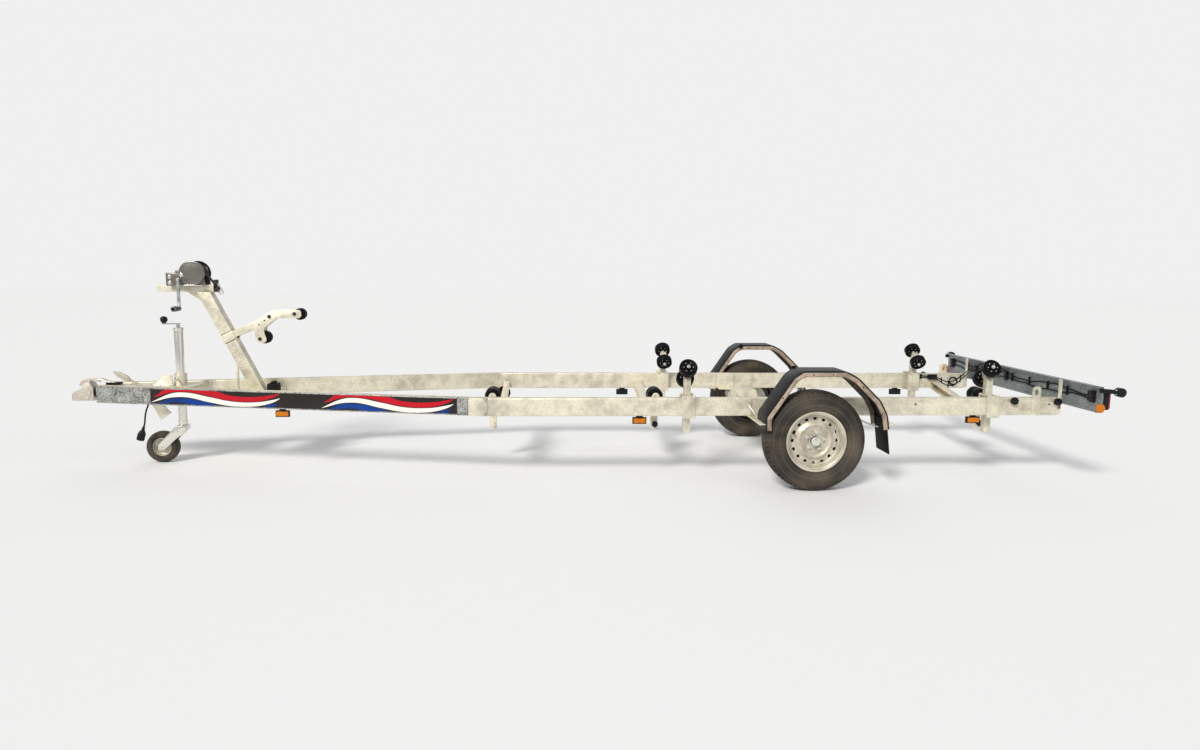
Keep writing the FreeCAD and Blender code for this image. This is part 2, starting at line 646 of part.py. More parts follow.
def make_tyre(name, side):
    body = new_body(f"tyre_{name}", axle_x, s.wheel_track / 2 * side, axle_z)
    bead = s.bead_diameter / 2 + s.seat_gap
    crown = s.tyre_diameter / 2
    half = s.tyre_width / 2
    tread = s.tread_width / 2
    wall = s.tyre_wall
    toe = s.rim_width / 2 - s.rim_lip - s.seat_gap
    height = crown - bead
    outer_side = [
        (bead, toe), (s.rim_flange / 2 + wall / 4, toe), (bead + height * 0.3, half - wall / 4),
        (bead + height * 0.46, half), (bead + height * 0.66, half - wall / 3),
        (crown - height * 0.12, tread + wall * 1.2), (crown - wall * 0.35, tread), (crown, tread / 2)]
    inner_side = [
        (crown - wall * 1.5, tread * 0.6), (crown - wall * 2, tread),
        (bead + height * 0.66, half - wall * 1.3), (bead + height * 0.4, half - wall),
        (bead, toe - wall * 1.6)]
    mirror = [(radius, -across) for radius, across in reversed(outer_side)]
    back = [(radius, -across) for radius, across in reversed(inner_side)]
    add_turned(body, "XY", outboard(outer_side + mirror + back + inner_side, side))


# Mudguards: facetted skins with a lip along both sides. The corners are shares of the tyre's radius
GUARD_SHARES = ((-1.040, 0.237), (-1.046, 0.508), (-0.523, 1.283), (-0.338, 1.406), (0.508, 1.406),
                (0.754, 1.277), (1.215, 0.831), (1.369, 0.538), (1.409, 0.262))


def guard_points():
    """Outline of the skin from its front foot over the tyre to its rear foot."""
    radius = s.tyre_diameter / 2
    return [(radius * across, axle_z + radius * height) for across, height in GUARD_SHARES]


def shifted_inward(points, distance):
    """The same open run moved towards the tyre, each corner kept on the bisector of its edges."""
    moved = []
    count = len(points)
    for index, (x, z) in enumerate(points):
        before = points[max(index - 1, 0)]
        after = points[min(index + 1, count - 1)]
        here = (x.number, z.number)
        edges = []
        for first, second in ((before, (x, z)), ((x, z), after)):
            run = second[0].number - first[0].number
            rise = second[1].number - first[1].number
            length = math.hypot(run, rise)
            if length:
                edges.append((rise / length, -run / length))
        normal_x = sum(edge[0] for edge in edges)
        normal_z = sum(edge[1] for edge in edges)
        size = math.hypot(normal_x, normal_z)
        normal_x, normal_z = normal_x / size, normal_z / size
        grow = 1 / (normal_x * edges[0][0] + normal_z * edges[0][1])
        moved.append((x + distance * (normal_x * grow), z + distance * (normal_z * grow)))
    return moved


def make_guard(name, side):
    body = new_body(f"mudguard_{name}")
    outer = guard_points()
    middle = (s.guard_outer - s.guard_width / 2) * side
    inner = shifted_inward(outer, s.guard_skin)
    add_plate(body, "XZ", middle, s.guard_width, outer + list(reversed(inner)))
    lip = shifted_inward(outer, s.guard_lip)
    for y in (s.guard_outer - s.guard_skin / 2, s.guard_outer - s.guard_width + s.guard_skin / 2):
        add_plate(body, "XZ", y * side, s.guard_skin, outer + list(reversed(lip)))


def make_flap(name, side):
    """Rubber flap that hangs inside the rear foot of the mudguard."""
    body = new_body(f"flap_{name}", node=False)
    foot_x, foot_z = guard_points()[-1]
    x = foot_x - s.guard_skin - s.seat_gap - s.flap_thickness * 2
    middle = (s.guard_outer - s.guard_width / 2) * side
    width = s.guard_width - s.guard_skin * 2 - s.seat_gap * 2
    add_plate(body, "YZ", x, s.flap_thickness, box_outline(
        middle - width / 2, s.flap_bottom, middle + width / 2, foot_z + s.flap_lap))
    return body


def skin_x(foot, above, height):
    """Where the skin's outline between two of its corners crosses a height."""
    return foot[0] + (above[0] - foot[0]) * ((height - foot[1]) / (above[1] - foot[1]))


def make_stays(name, side):
    """Flat stays from under the rail to both feet of the mudguard."""
    points = guard_points()
    front_x = skin_x(points[0], points[1], rail_foot) - s.seat_gap
    rear_x = skin_x(points[-1], points[-2], rail_foot - s.stay_thickness) + s.seat_gap
    stays = []
    for end, x in (("front", front_x - s.stay_width), ("rear", rear_x)):
        body = new_body(f"stay_{end}_{name}", node=False)
        add_plate(body, "XY", rail_foot - s.stay_thickness / 2, s.stay_thickness, box_outline(
            x, rail_inner * side, x + s.stay_width, s.guard_outer * side))
        stays.append(body)
    return stays


# Overrun device, bellows and coupling. The relay lever's corners are heights of the housing behind
# its tail, heights below its top, and shares of the way down to the jockey wheel's fork
RELAY_SHARES = ((-1.4, 0.8, 0), (-0.7, 1, 0.45), (-0.3, 1, 0.9), (0.55, 1, 0.6), (-0.6, 0.8, 0))


def make_overrun():
    body = new_body("overrun_box", node=False)
    top = s.rail_top - s.housing_drop
    half = s.housing_width / 2
    nose = -s.leg_nose_reach
    tail = nose + s.housing_length
    add_plate(body, "XZ", 0, s.housing_width, [
        (nose, top - s.housing_height), (tail - s.housing_height / 2, top - s.housing_height),
        (tail, top - s.housing_height / 2), (tail, top), (nose, top)])
    for reach in (s.leg_nose_reach - s.housing_height, s.leg_nose_reach - s.housing_length * EAR_SHARE):
        width = leg_centre(reach + s.plate_thickness / 2) - leg_half
        add_plate(body, "YZ", -reach, s.plate_thickness, box_outline(
            -width, top - s.housing_height, width, top))
    relay_y = -s.relay_inset
    drop = s.brake_rod_height - s.jockey_fork_top
    add_plate(body, "XY", top - s.housing_height + s.relay_thickness / 2, s.relay_thickness, box_outline(
        tail - s.housing_height * 1.4, relay_y, tail - s.housing_height * 0.6, 0))
    add_plate(body, "XZ", relay_y, s.relay_thickness, [
        (tail + s.housing_height * behind, top - s.housing_height * below - drop * down)
        for behind, below, down in RELAY_SHARES])
    pin_root = s.relay_inset + s.relay_thickness / 2
    pin_end = s.brake_rod_inset + s.brake_rod
    add_round(body, "XZ", -(pin_root + pin_end) / 2, pin_end - pin_root, -s.brake_rod_reach,
              s.brake_rod_height, s.brake_rod)
    gland_x, gland_y, gland_z = (as_size(value) for value in PLUG_LEAD_ROUTE[0])
    floor = top - s.housing_height
    add_round(body, "XY", (floor + gland_z) / 2, floor - gland_z, gland_x - axle_x.number, gland_y,
              s.gland_diameter)
    return body


def make_brake_rod():
    """Rod from an eye on the relay lever's pin back to the cable bracket on the axle."""
    rod = new_body("brake_rod", node=False)
    y, z = -s.brake_rod_inset, s.brake_rod_height
    add_round(rod, "XZ", y, s.brake_rod, -s.brake_rod_reach, z, s.brake_rod * 2.4)
    start = s.brake_rod_reach - s.brake_rod
    end = s.cable_bracket_reach + s.seat_gap
    add_round(rod, "YZ", -(start + end) / 2, start - end, y, z, s.brake_rod)
    cut_round(rod, "XZ", y, s.brake_rod * 2, -s.brake_rod_reach, z, s.brake_rod + s.running_gap * 2)
    return rod


def make_bellows():
    """Rubber bellows with three folds round the drawtube."""
    tail = -s.leg_nose_reach
    nose = -s.coupling_tail_reach
    z = coupling_axis
    body = new_body("bellows", axle_x, 0, z)
    big = s.bellows_diameter / 2
    small = s.bellows_waist / 2
    step = (tail - nose) / 6
    points = [(nose, 0)]
    for fold in range(3):
        points += [(nose + step * (2 * fold), small), (nose + step * (2 * fold + 1), big)]
    points += [(tail, small), (tail, 0)]
    add_turned(body, "XZ", points, axis="H_Axis")


coupling_axis = s.rail_top - s.housing_drop - s.housing_height / 2


# The head's corners from the side as shares of its length and height, its nose from above as shares
# of its length and half width, and the handle's arch as lengths of the head and its own thicknesses
COUPLING_SIDE_SHARES = ((1, 0), (1, 0.7), (0.86, 1), (0.68, 1), (0.48, 0.66), (0.2, 0.5), (0.06, 0.34),
                        (0, 0.1))
COUPLING_NOSE_SHARES = ((0, 0.3), (0.05, 0.62), (0.16, 0.9), (0.3, 1))
HANDLE_SHARES = ((0.62, 0), (0.8, 2.6), (1.25, 2.8), (1.6, 0.6), (2.05, -0.4))
DOME_ANGLES = (0, 22.5, 45, 67.5)


def make_coupling():
    """Ball coupling with its socket open below."""
    body = new_body("coupling_head", axle_x - s.nose_reach + s.ball_set_back, 0, s.coupling_height)
    nose = -s.ball_set_back
    tail = s.nose_reach - s.coupling_tail_reach - s.ball_set_back
    length = tail - nose
    top = s.coupling_top
    add_plate(body, "XZ", 0, s.coupling_width, [(nose, 0)] + [
        (nose + length * along, top * up) for along, up in COUPLING_SIDE_SHARES])
    half = s.coupling_width / 2
    beyond = half + s.overrun
    for sign in (-1, 1):
        curve = [(nose + length * along, half * out * sign) for along, out in COUPLING_NOSE_SHARES]
        cut_plate(body, "XY", 0, top * 3, [(nose - s.overrun, curve[0][1])] + curve + [
            (curve[-1][0], beyond * sign), (nose - s.overrun, beyond * sign)])
    ball = s.ball_diameter / 2 + s.running_gap * 3
    dome = [(ball * math.cos(math.radians(angle)), s.socket_depth + ball * math.sin(math.radians(angle)))
            for angle in DOME_ANGLES]
    cut_turned(body, "XZ", [(0, -s.overrun), (ball, -s.overrun)] + dome + [(0, s.socket_depth + ball)])
    return body


def make_coupling_handle():
    """Arched grip that opens the coupling."""
    body = new_body("coupling_handle")
    nose = -s.nose_reach
    length = s.nose_reach - s.coupling_tail_reach
    foot = s.coupling_height + s.coupling_top + s.seat_gap
    wall = s.handle_thickness
    arch = [(nose + length * along, foot + wall * up) for along, up in HANDLE_SHARES]
    under = [(x + wall * 0.2, z - wall) for x, z in reversed(arch[1:])]
    add_plate(body, "XZ", 0, s.handle_width, arch + under + [(nose + length * 0.86, foot)])


# Shares of the lever's length and of half its width
LEVER_GRIP_SHARES = ((0.52, 0.7), (0.62, 1.5), (0.84, 1.3), (1, 0.3), (1, -0.3), (0.84, -1.3), (0.62, -1.5),
                     (0.52, -0.7))


def make_brake_lever():
    body = new_body("handbrake_lever")
    y = -(s.housing_width / 2 + s.lever_thickness / 2)
    root_x, root_z = -s.lever_root_reach, s.lever_root_height
    tip_x, tip_z = -s.lever_tip_reach, s.lever_tip_height
    lean = arctangent((s.lever_tip_height - s.lever_root_height) / (s.lever_tip_reach - s.lever_root_reach))
    off_x = s.lever_width / 2 * sine(lean)
    off_z = s.lever_width / 2 * cosine(lean)
    run_x, run_z = tip_x - root_x, tip_z - root_z
    add_plate(body, "XZ", y, s.lever_thickness, [
        (root_x + off_x, root_z + off_z), (root_x - off_x, root_z - off_z),
        (tip_x - off_x * 0.4, tip_z - off_z * 0.4), (tip_x + off_x * 0.4, tip_z + off_z * 0.4)])
    outline = [(root_x + run_x * along + off_x * wide, root_z + run_z * along + off_z * wide)
               for along, wide in LEVER_GRIP_SHARES]
    add_plate(body, "XZ", y, s.lever_thickness * 2.6, outline)
    add_round(body, "XZ", y, s.lever_thickness, root_x, root_z, s.lever_width * 1.6)


# Plate over the nose of the drawbar, with the brake quadrant and the clamp of the jockey wheel
def make_drawbar_plate():
    body = new_body("drawbar_plate")
    top = s.rail_top - s.housing_drop + s.plate_thickness
    nose = s.leg_nose_reach
    tail = s.plate_tail_reach
    inset = leg_half
    front_y = leg_centre(nose) - inset
    rear_y = leg_centre(tail) - inset
    add_plate(body, "XY", top - s.plate_thickness / 2, s.plate_thickness, [
        (-nose, -front_y), (-tail, -rear_y), (-tail, rear_y), (-nose, front_y)])
    outer = s.jockey_tube + s.clamp_wall * 2
    add_round(body, "XY", top + s.clamp_height / 2, s.clamp_height, -s.jockey_reach, 0, outer)
    cut_round(body, "XY", top, s.clamp_height * 3, -s.jockey_reach, 0, s.jockey_tube + s.running_gap * 2)
    slot_y = -(s.housing_width / 2 + s.lever_thickness / 2)
    slot = s.lever_width * 3
    cut_plate(body, "XY", top - s.plate_thickness / 2, s.plate_thickness * 2, box_outline(
        -s.lever_root_reach - slot, slot_y - s.lever_thickness, -s.lever_root_reach + slot / 3,
        slot_y + s.lever_thickness))
    y = slot_y - s.lever_thickness - s.quadrant_thickness / 2
    rise = s.clamp_height
    add_plate(body, "XZ", y, s.quadrant_thickness, [
        (-s.jockey_reach - rise * 2.1, top), (-s.jockey_reach - rise * 0.4, top),
        (-s.jockey_reach - rise * 0.4, top + rise * 0.9), (-s.jockey_reach - rise * 1.2, top + rise * 0.9)])


# Jockey wheel: outer tube in its clamp, sliding leg, swivelling fork and wheel
def make_jockey():
    x = axle_x - s.jockey_reach
    tube = new_body("jockey_tube", x)
    height = s.jockey_tube_top - s.jockey_tube_foot
    bore = s.jockey_leg + s.running_gap * 2
    middle = s.jockey_tube_foot + height / 2
    cap = s.plate_thickness
    add_round(tube, "XY", middle, height, 0, 0, s.jockey_tube)
    cut_round(tube, "XY", middle - cap, height, 0, 0, bore)

    crank = new_body("jockey_crank", x)
    arm_z = s.jockey_tube_top + s.seat_gap + s.jockey_crank_rise
    add_round(crank, "XY", s.jockey_tube_top + s.seat_gap + s.jockey_crank_rise / 2, s.jockey_crank_rise,
              0, 0, s.jockey_knob)
    knob = s.jockey_knob / 2
    add_plate(crank, "XY", arm_z + s.plate_thickness / 2, s.plate_thickness, box_outline(
        -s.jockey_crank_reach - knob, -knob, knob, knob))
    add_round(crank, "XY", arm_z + s.plate_thickness + s.jockey_knob_length / 2, s.jockey_knob_length,
              -s.jockey_crank_reach, 0, s.jockey_knob)

    leg = new_body("jockey_leg", x)
    leg_top = s.jockey_tube_top - cap - s.jockey_crank_rise * 2
    leg_foot = s.jockey_fork_top + s.seat_gap
    add_round(leg, "XY", (leg_top + leg_foot) / 2, leg_top - leg_foot, 0, 0, s.jockey_leg)

    fork = new_body("jockey_fork", x)
    inner = s.jockey_wheel_width / 2 + s.jockey_fork_gap
    wall = s.jockey_fork_wall
    hub_z = s.jockey_wheel / 2
    trail = s.jockey_trail
    crown = s.jockey_fork_top - wall
    half = s.jockey_leg / 2
    add_plate(fork, "XY", s.jockey_fork_top - wall / 2, wall, box_outline(
        -half * 1.4, -inner - wall, half * 1.3, inner + wall))
    eye = s.jockey_pin * 1.2
    for sign in (-1, 1):
        y = (inner + wall / 2) * sign
        add_plate(fork, "XZ", y, wall, [
            (-half * 1.4, s.jockey_fork_top), (half * 1.3, s.jockey_fork_top),
            (half * 1.3, s.jockey_fork_top - half * 1.2), (-trail + eye, hub_z - eye),
            (-trail - eye, hub_z - eye), (-trail - eye, hub_z + eye)])
    add_round(fork, "XZ", 0, (inner + wall) * 2, -trail, hub_z, s.jockey_pin)

    rim = new_body("jockey_rim", x - trail, 0, hub_z)
    across = s.jockey_wheel_width / 2
    web = across * 0.2
    rim_r = s.jockey_rim / 2
    hub_r = s.jockey_pin * 1.3
    bore_r = s.jockey_pin / 2 + s.running_gap
    edge = across * 0.8
    add_turned(rim, "XY", [
        (bore_r, -across), (hub_r, -across), (hub_r, -web), (rim_r - wall, -web), (rim_r - wall, -edge),
        (rim_r, -edge), (rim_r, edge), (rim_r - wall, edge), (rim_r - wall, web),
        (hub_r, web), (hub_r, across), (bore_r, across)])
    tyre = new_body("jockey_tyre", x - trail, 0, hub_z)
    crown_r = s.jockey_wheel / 2
    inner_r = rim_r + s.seat_gap
    side = [(crown_r, across * 0.3), (crown_r - wall * 0.5, across * 0.7), (crown_r - wall * 2, across),
            (inner_r + wall, across), (inner_r, edge)]
    add_turned(tyre, "XY", [(radius, -out) for radius, out in reversed(side)] + side)


# Winch post leaning over the drawbar, on a foot plate that spans the legs
def make_winch_foot():
    body = new_body("winch_foot")
    top = s.post_foot_height
    nose = s.foot_plate_nose_reach
    tail = s.foot_plate_tail_reach
    nose_y = leg_centre(nose) - leg_half
    tail_y = leg_centre(tail) - leg_half
    add_plate(body, "XY", top - s.foot_plate_thickness / 2, s.foot_plate_thickness, [
        (-nose, -nose_y), (-tail, -tail_y), (-tail, tail_y), (-nose, nose_y)])
    beam = s.foot_beam_side
    for reach in (nose - beam / 2, tail + beam / 2):
        width = leg_centre(reach + beam / 2) - leg_half
        add_plate(body, "YZ", -reach, beam, box_outline(
            -width, top - s.foot_plate_thickness - beam, width, top - s.foot_plate_thickness))


def make_winch_post():
    body = new_body("winch_post")
    slope = tangent(s.post_lean)
    half = s.post_side / 2 / cosine(s.post_lean)
    foot, top = s.post_foot_height, s.post_top_height
    lead = (top - foot) * slope
    x = -s.post_foot_reach
    add_plate(body, "XZ", 0, s.post_side, [
        (x - half, foot), (x + half, foot), (x + half - lead, top), (x - half - lead, top)])
    inner = half - s.post_wall / cosine(s.post_lean)
    cut_plate(body, "XZ", 0, s.post_side - s.post_wall * 2, [
        (x - inner, foot), (x + inner, foot), (x + inner - lead, top), (x - inner - lead, top)])
    side = s.head_side
    add_plate(body, "XZ", 0, side, box_outline(-s.head_nose_reach, top, -s.head_tail_reach, top + side))
    cut_plate(body, "XZ", 0, side - s.post_wall * 2, box_outline(
        -s.head_nose_reach - s.overrun, top + s.post_wall,
        -s.head_tail_reach + s.overrun, top + side - s.post_wall))
    gusset = s.post_side
    at_top = x - half - lead
    add_plate(body, "XZ", 0, s.plate_thickness, [
        (at_top, top), (at_top + gusset * slope, top - gusset), (at_top - gusset, top)])
    at_brace = x - half - (s.brace_top_height - foot) * slope
    add_plate(body, "XZ", 0, s.plate_thickness, [
        (-s.brace_reach - s.brace_width / 2, foot), (-s.brace_reach + s.brace_width / 2, foot),
        (-s.brace_reach + s.brace_width / 2, s.brace_top_height - s.brace_width),
        (at_brace + s.brace_width, s.brace_top_height - s.brace_width), (at_brace, s.brace_top_height),
        (-s.brace_reach - s.brace_width / 2, s.brace_top_height)])


# Winch: frame with side plates and covers, drum with the wound strap, crank, strap and hook
def make_winch():
    floor = s.post_top_height + s.head_side
    x = -s.winch_reach
    z = s.winch_height
    inner = s.winch_gap / 2
    plate = s.winch_plate
    frame = new_body("winch_frame")
    cover = s.winch_cover / 2
    add_plate(frame, "XY", floor + plate / 2, plate, box_outline(
        -s.gearbox_nose_reach + cover / 2, -inner - plate, x + cover, inner + plate))
    for sign in (-1, 1):
        y = (inner + plate / 2) * sign
        add_plate(frame, "XZ", y, plate, [
            (-s.gearbox_nose_reach + cover / 2, floor), (x + cover, floor), (x + cover * 0.8, z + cover * 0.5),
            (x, z + cover * 0.75), (x - cover * 0.7, z + cover * 0.5)])
    cover_y = -(inner + plate + s.winch_cover_depth / 2)
    add_round(frame, "XZ", cover_y, s.winch_cover_depth, x, z, s.winch_cover)
    gear_low = s.crank_height - s.gearbox_height / 2
    add_plate(frame, "XZ", cover_y, s.winch_cover_depth, box_outline(
        -s.gearbox_nose_reach, gear_low, x, gear_low + s.gearbox_height))
    add_round(frame, "XZ", 0, (inner + plate) * 2, x, z, s.drum_pin)

    drum = new_body("winch_drum", axle_x + x, 0, z)
    half = inner - s.drum_side_gap
    bore = s.drum_pin / 2 + s.running_gap
    wound = s.drum_wound / 2
    add_turned(drum, "XY", [
        (bore, -half), (wound, -half), (wound, -half + plate), (wound - plate, -half + plate),
        (wound - plate, half - plate), (wound, half - plate), (wound, half), (bore, half)])

    crank = new_body("winch_crank", axle_x - s.crank_reach, 0, s.crank_height)
    shaft_in = inner + plate + s.winch_cover_depth + s.seat_gap
    arm_y = s.crank_inset
    add_round(crank, "XZ", -(shaft_in + arm_y) / 2, arm_y - shaft_in, 0, 0, s.crank_width)
    wide = s.crank_width / 2
    add_plate(crank, "XZ", -(arm_y + s.crank_thickness / 2), s.crank_thickness, [
        (-wide, -s.crank_length), (wide, -s.crank_length), (wide, 0), (-wide, 0)])
    add_round(crank, "XZ", -(arm_y + s.crank_thickness / 2), s.crank_thickness, 0, 0, s.crank_width)
    add_round(crank, "XZ", -(arm_y + s.crank_thickness + s.crank_grip_length / 2), s.crank_grip_length,
              0, -s.crank_length, s.crank_grip)

    strap = new_body("winch_strap")
    top_x, top_z = x + wound + s.drum_side_gap, z
    end_x, end_z = -s.head_tail_reach + s.strap_thickness * 6, s.post_top_height + s.head_side / 2
    thick = s.strap_thickness
    add_plate(strap, "XZ", 0, s.strap_width, [
        (top_x, top_z), (top_x + thick, top_z), (end_x + thick, end_z), (end_x, end_z)])
    stop_x = -s.head_tail_reach + s.seat_gap
    add_plate(strap, "XZ", 0, s.strap_width, box_outline(
        stop_x, end_z - s.head_side / 2, end_x + thick, end_z + s.strap_thickness))


# Bow arm: two bent plates that hold the upper and the lower bow roller. Its corners are shares of the
# post's rise, behind the arm's root and above the post's foot
ARM_ROOT_SHARE = 0.56
ARM_SHARES = {"fork": (0.2, 0.655), "knee": (0.34, 0.786), "upper": (0.655, 0.786),
              "lower": (0.285, 0.553)}


def make_bow_arm():
    slope = tangent(s.post_lean)
    half = s.post_side / 2 / cosine(s.post_lean)

    def post_back(height):
        return -s.post_foot_reach + half - (height - s.post_foot_height) * slope

    base = s.post_foot_height
    rise = s.post_top_height - base
    strip = s.arm_strip
    root = base + rise * ARM_ROOT_SHARE
    corners = [(post_back(root) + rise * behind, base + rise * above)
               for behind, above in ARM_SHARES.values()]
    (fork_x, fork_z), (knee_x, knee_z), (upper_x, upper_z), (lower_x, lower_z) = corners
    body = new_body("bow_arm")
    for sign in (-1, 1):
        y = (s.arm_gap + s.arm_plate) / 2 * sign
        add_plate(body, "XZ", y, s.arm_plate, [
            (post_back(root + strip), root + strip), (post_back(root - strip / 2), root - strip / 2),
            (fork_x, fork_z), (lower_x - strip / 4, lower_z - strip / 4),
            (lower_x + strip / 4, lower_z - strip / 4),
            (fork_x + strip * 0.8, fork_z + strip * 0.6), (knee_x + strip / 3, knee_z - strip / 2),
            (upper_x, upper_z - strip / 2), (upper_x, upper_z + strip / 2), (knee_x, knee_z + strip / 2)])
    across_x, across_z = cosine(s.post_lean), sine(s.post_lean)
    along_x, along_z = -across_z, across_x
    hub_x = post_back(root + strip / 4) - s.post_side / 2 * across_x
    hub_z = root + strip / 4 - s.post_side / 2 * across_z

    def round_post(half_side, half_height):
        return [(hub_x + half_side * (across_x * a) + half_height * (along_x * b),
                 hub_z + half_side * (across_z * a) + half_height * (along_z * b))
                for a, b in ((-1, -1), (1, -1), (1, 1), (-1, 1))]

    add_plate(body, "XZ", 0, s.post_side + s.band_wall * 2, round_post(
        s.post_side / 2 + s.band_wall, s.band_height / 2))
    cut_plate(body, "XZ", 0, s.post_side, round_post(s.post_side / 2, s.band_height))
    for x, z in ((upper_x - strip / 4, upper_z), (lower_x, lower_z)):
        add_round(body, "XZ", 0, s.arm_gap + s.arm_plate * 2, x, z, s.bow_pin)
    for name, x, z, diameter in (("upper", upper_x - strip / 4, upper_z, s.bow_upper),
                                 ("lower", lower_x, lower_z, s.bow_lower)):
        roller = new_body(f"bow_roller_{name}", axle_x + x, 0, z)
        outer = diameter / 2
        across = s.arm_gap / 2 - s.bow_side_gap
        bore = s.bow_pin / 2 + s.running_gap
        add_turned(roller, "XY", [
            (bore, -across), (outer * 0.9, -across), (outer, -across * 0.7), (outer * 0.86, 0),
            (outer, across * 0.7), (outer * 0.9, across), (bore, across)])


# Side roller stations: a post inside the rail, a clamp round it and a tilted pair of rollers
side_clamp_top = s.rail_top - s.rail_height / 2 + s.side_plate_height / 2
side_centre_height = side_clamp_top + s.side_post_rise + s.side_head_drop


def make_side_post(name, side, x):
    body = new_body(f"side_post_{name}", node=False)
    half = s.side_post / 2
    y = (rail_inner - half) * side
    foot, top = s.side_post_foot, side_centre_height - s.side_head_drop
    add_plate(body, "XZ", y, s.side_post, box_outline(x - half, foot, x + half, top))
    inner = half - s.side_post_wall
    cut_plate(body, "XZ", y, inner * 2, box_outline(
        x - inner, foot - s.overrun, x + inner, top - s.side_post_wall))
    return body


def make_side_head(name, side, x):
    """Head on the post and the tilted shaft, drawn level and then turned about the shaft's middle."""
    body = new_body(
        f"side_head_{name}", axle_x + x, s.side_centre_inset * side, side_centre_height, node=False)
    turn_about(body, (1, 0, 0), s.side_tilt * side)
    depth = s.side_head_drop / cosine(s.side_tilt)
    half = s.side_head / 2
    add_plate(body, "YZ", 0, s.side_head, box_outline(-half, -depth - half * 0.9, half, half))
    add_round(body, "XZ", 0, s.side_roller_spread + s.side_roller_width, 0, 0, s.side_shaft)
    return body


def make_side_rollers(name, side, x):
    body = new_body(f"side_rollers_{name}", axle_x + x, s.side_centre_inset * side, side_centre_height)
    turn_about(body, (1, 0, 0), s.side_tilt * side)
    outer = s.side_roller / 2
    bore = s.side_shaft / 2 + s.running_gap
    half = s.side_roller_width / 2
    for sign in (-1, 1):
        middle = s.side_roller_spread / 2 * sign
        add_turned(body, "XY", [
            (bore, middle - half), (outer * 0.86, middle - half), (outer, middle - half * 0.6),
            (outer, middle + half * 0.6), (outer * 0.86, middle + half), (bore, middle + half)])


def make_side_clamp(name, side, x):
    """Two plates, outside the rail and inside the post, pulled together by four bolts."""
    body = new_body(f"side_clamp_{name}", node=False)
    middle = s.rail_top - s.rail_height / 2
    low = middle - s.side_plate_height / 2
    high = middle + s.side_plate_height / 2
    half = s.side_plate_width / 2
    thick = s.side_plate_thickness
    outer_y = rail_outer + thick / 2
    inner_y = rail_inner - s.side_post - thick / 2
    for y in (outer_y, inner_y):
        add_plate(body, "XZ", y * side, thick, box_outline(x - half, low, x + half, high))
    inset = s.side_bolt_inset
    span = outer_y - inner_y
    for bolt_x in (x - half + inset, x + half - inset):
        for bolt_z in (low + inset * 0.6, high - inset * 0.6):
            add_round(body, "XZ", (outer_y + inner_y) / 2 * side, span, bolt_x, bolt_z, s.side_bolt)
    return body


# Light board with its tubes, lamps, marker arms and lenses
def make_light_board():
    body = new_body("light_board")
    x = s.board_reach
    half = s.board_length / 2
    sheet_half = s.board_sheet / 2
    lip = s.board_lip
    add_plate(body, "YZ", x + sheet_half, s.board_sheet, box_outline(
        -half, s.board_foot, half, s.board_top))
    for z in (s.board_top - sheet_half, s.board_foot + sheet_half):
        add_plate(body, "XY", z, s.board_sheet, box_outline(x - lip, -half, x + s.board_sheet, half))


def make_board_tube(name, side):
    """Tube that carries the board and slides in the open tail of a rail."""
    body = new_body(f"board_tube_{name}", node=False)
    half = s.board_tube / 2
    z = rail_foot + s.rail_wall + s.seat_gap + half
    x = s.board_reach - s.board_lip - s.seat_gap
    y = s.rail_spacing / 2 * side
    add_plate(body, "XY", z, s.board_tube, box_outline(x - s.board_tube_length, y - half, x, y + half))
    inner = half - s.board_sheet
    cut_plate(body, "XY", z, inner * 2, box_outline(
        x - s.board_tube_length - s.overrun, y - inner, x + s.overrun, y + inner))
    add_plate(body, "YZ", x - s.board_sheet / 2, s.board_sheet, box_outline(
        y - half, z - half, y + half, s.board_top))
    add_plate(body, "XZ", y, s.board_sheet, [
        (x - (x - s.rail_tail_reach) * 0.8, z + half), (x, z + half), (x, s.board_top - s.board_tube)])
    return body


def make_lamps():
    pieces = []
    lenses = []
    x = s.board_reach + s.board_sheet + s.seat_gap
    middle = (s.board_foot + s.board_top) / 2
    for name, side in SIDES.items():
        body = new_body(f"lamp_{name}", node=False)
        end = s.board_length / 2
        low = middle - s.lamp_height / 2
        add_plate(body, "YZ", x + s.lamp_depth / 2, s.lamp_depth, box_outline(
            (end - s.lamp_width) * side, low, end * side, low + s.lamp_height))
        pieces.append(body)
        lens = new_body(f"lens_{name}", node=False)
        wall = s.lens_depth
        add_plate(lens, "YZ", x + s.lamp_depth + s.lens_depth / 2, s.lens_depth, box_outline(
            (end - s.lamp_width + wall / 2) * side, low + wall / 2, (end - wall / 2) * side,
            low + s.lamp_height - wall / 2))
        lenses.append(lens)
    return pieces, lenses


def make_marker(name, side):
    """Rubber arm at the board's end that carries a small position lamp."""
    body = new_body(f"marker_{name}", node=False)
    root_x = s.board_reach - s.board_lip / 2
    root_y = s.board_length / 2
    tip_y = s.marker_span / 2 - s.marker_lamp_depth / 2
    tip_x = s.tail_reach - s.marker_lamp / 2
    half = s.marker_arm / 2
    z = s.marker_height
    add_plate(body, "XY", z, s.marker_arm, [
        (root_x - half, root_y * side), (root_x + half * 2, root_y * side),
        (tip_x + half, tip_y * side), (tip_x - half, tip_y * side)])
    add_round(body, "XZ", tip_y * side, s.marker_lamp_depth, tip_x, z, s.marker_lamp)
    return body


def make_reflector(name, side):
    body = new_body(f"reflector_{name}", node=False)
    y = s.board_length / 2 + s.seat_gap + s.reflector_depth / 2
    add_round(body, "XZ", y * side, s.reflector_depth, s.board_reach - s.board_lip / 2 + s.seat_gap,
              s.board_foot + s.reflector / 2, s.reflector)
    return body


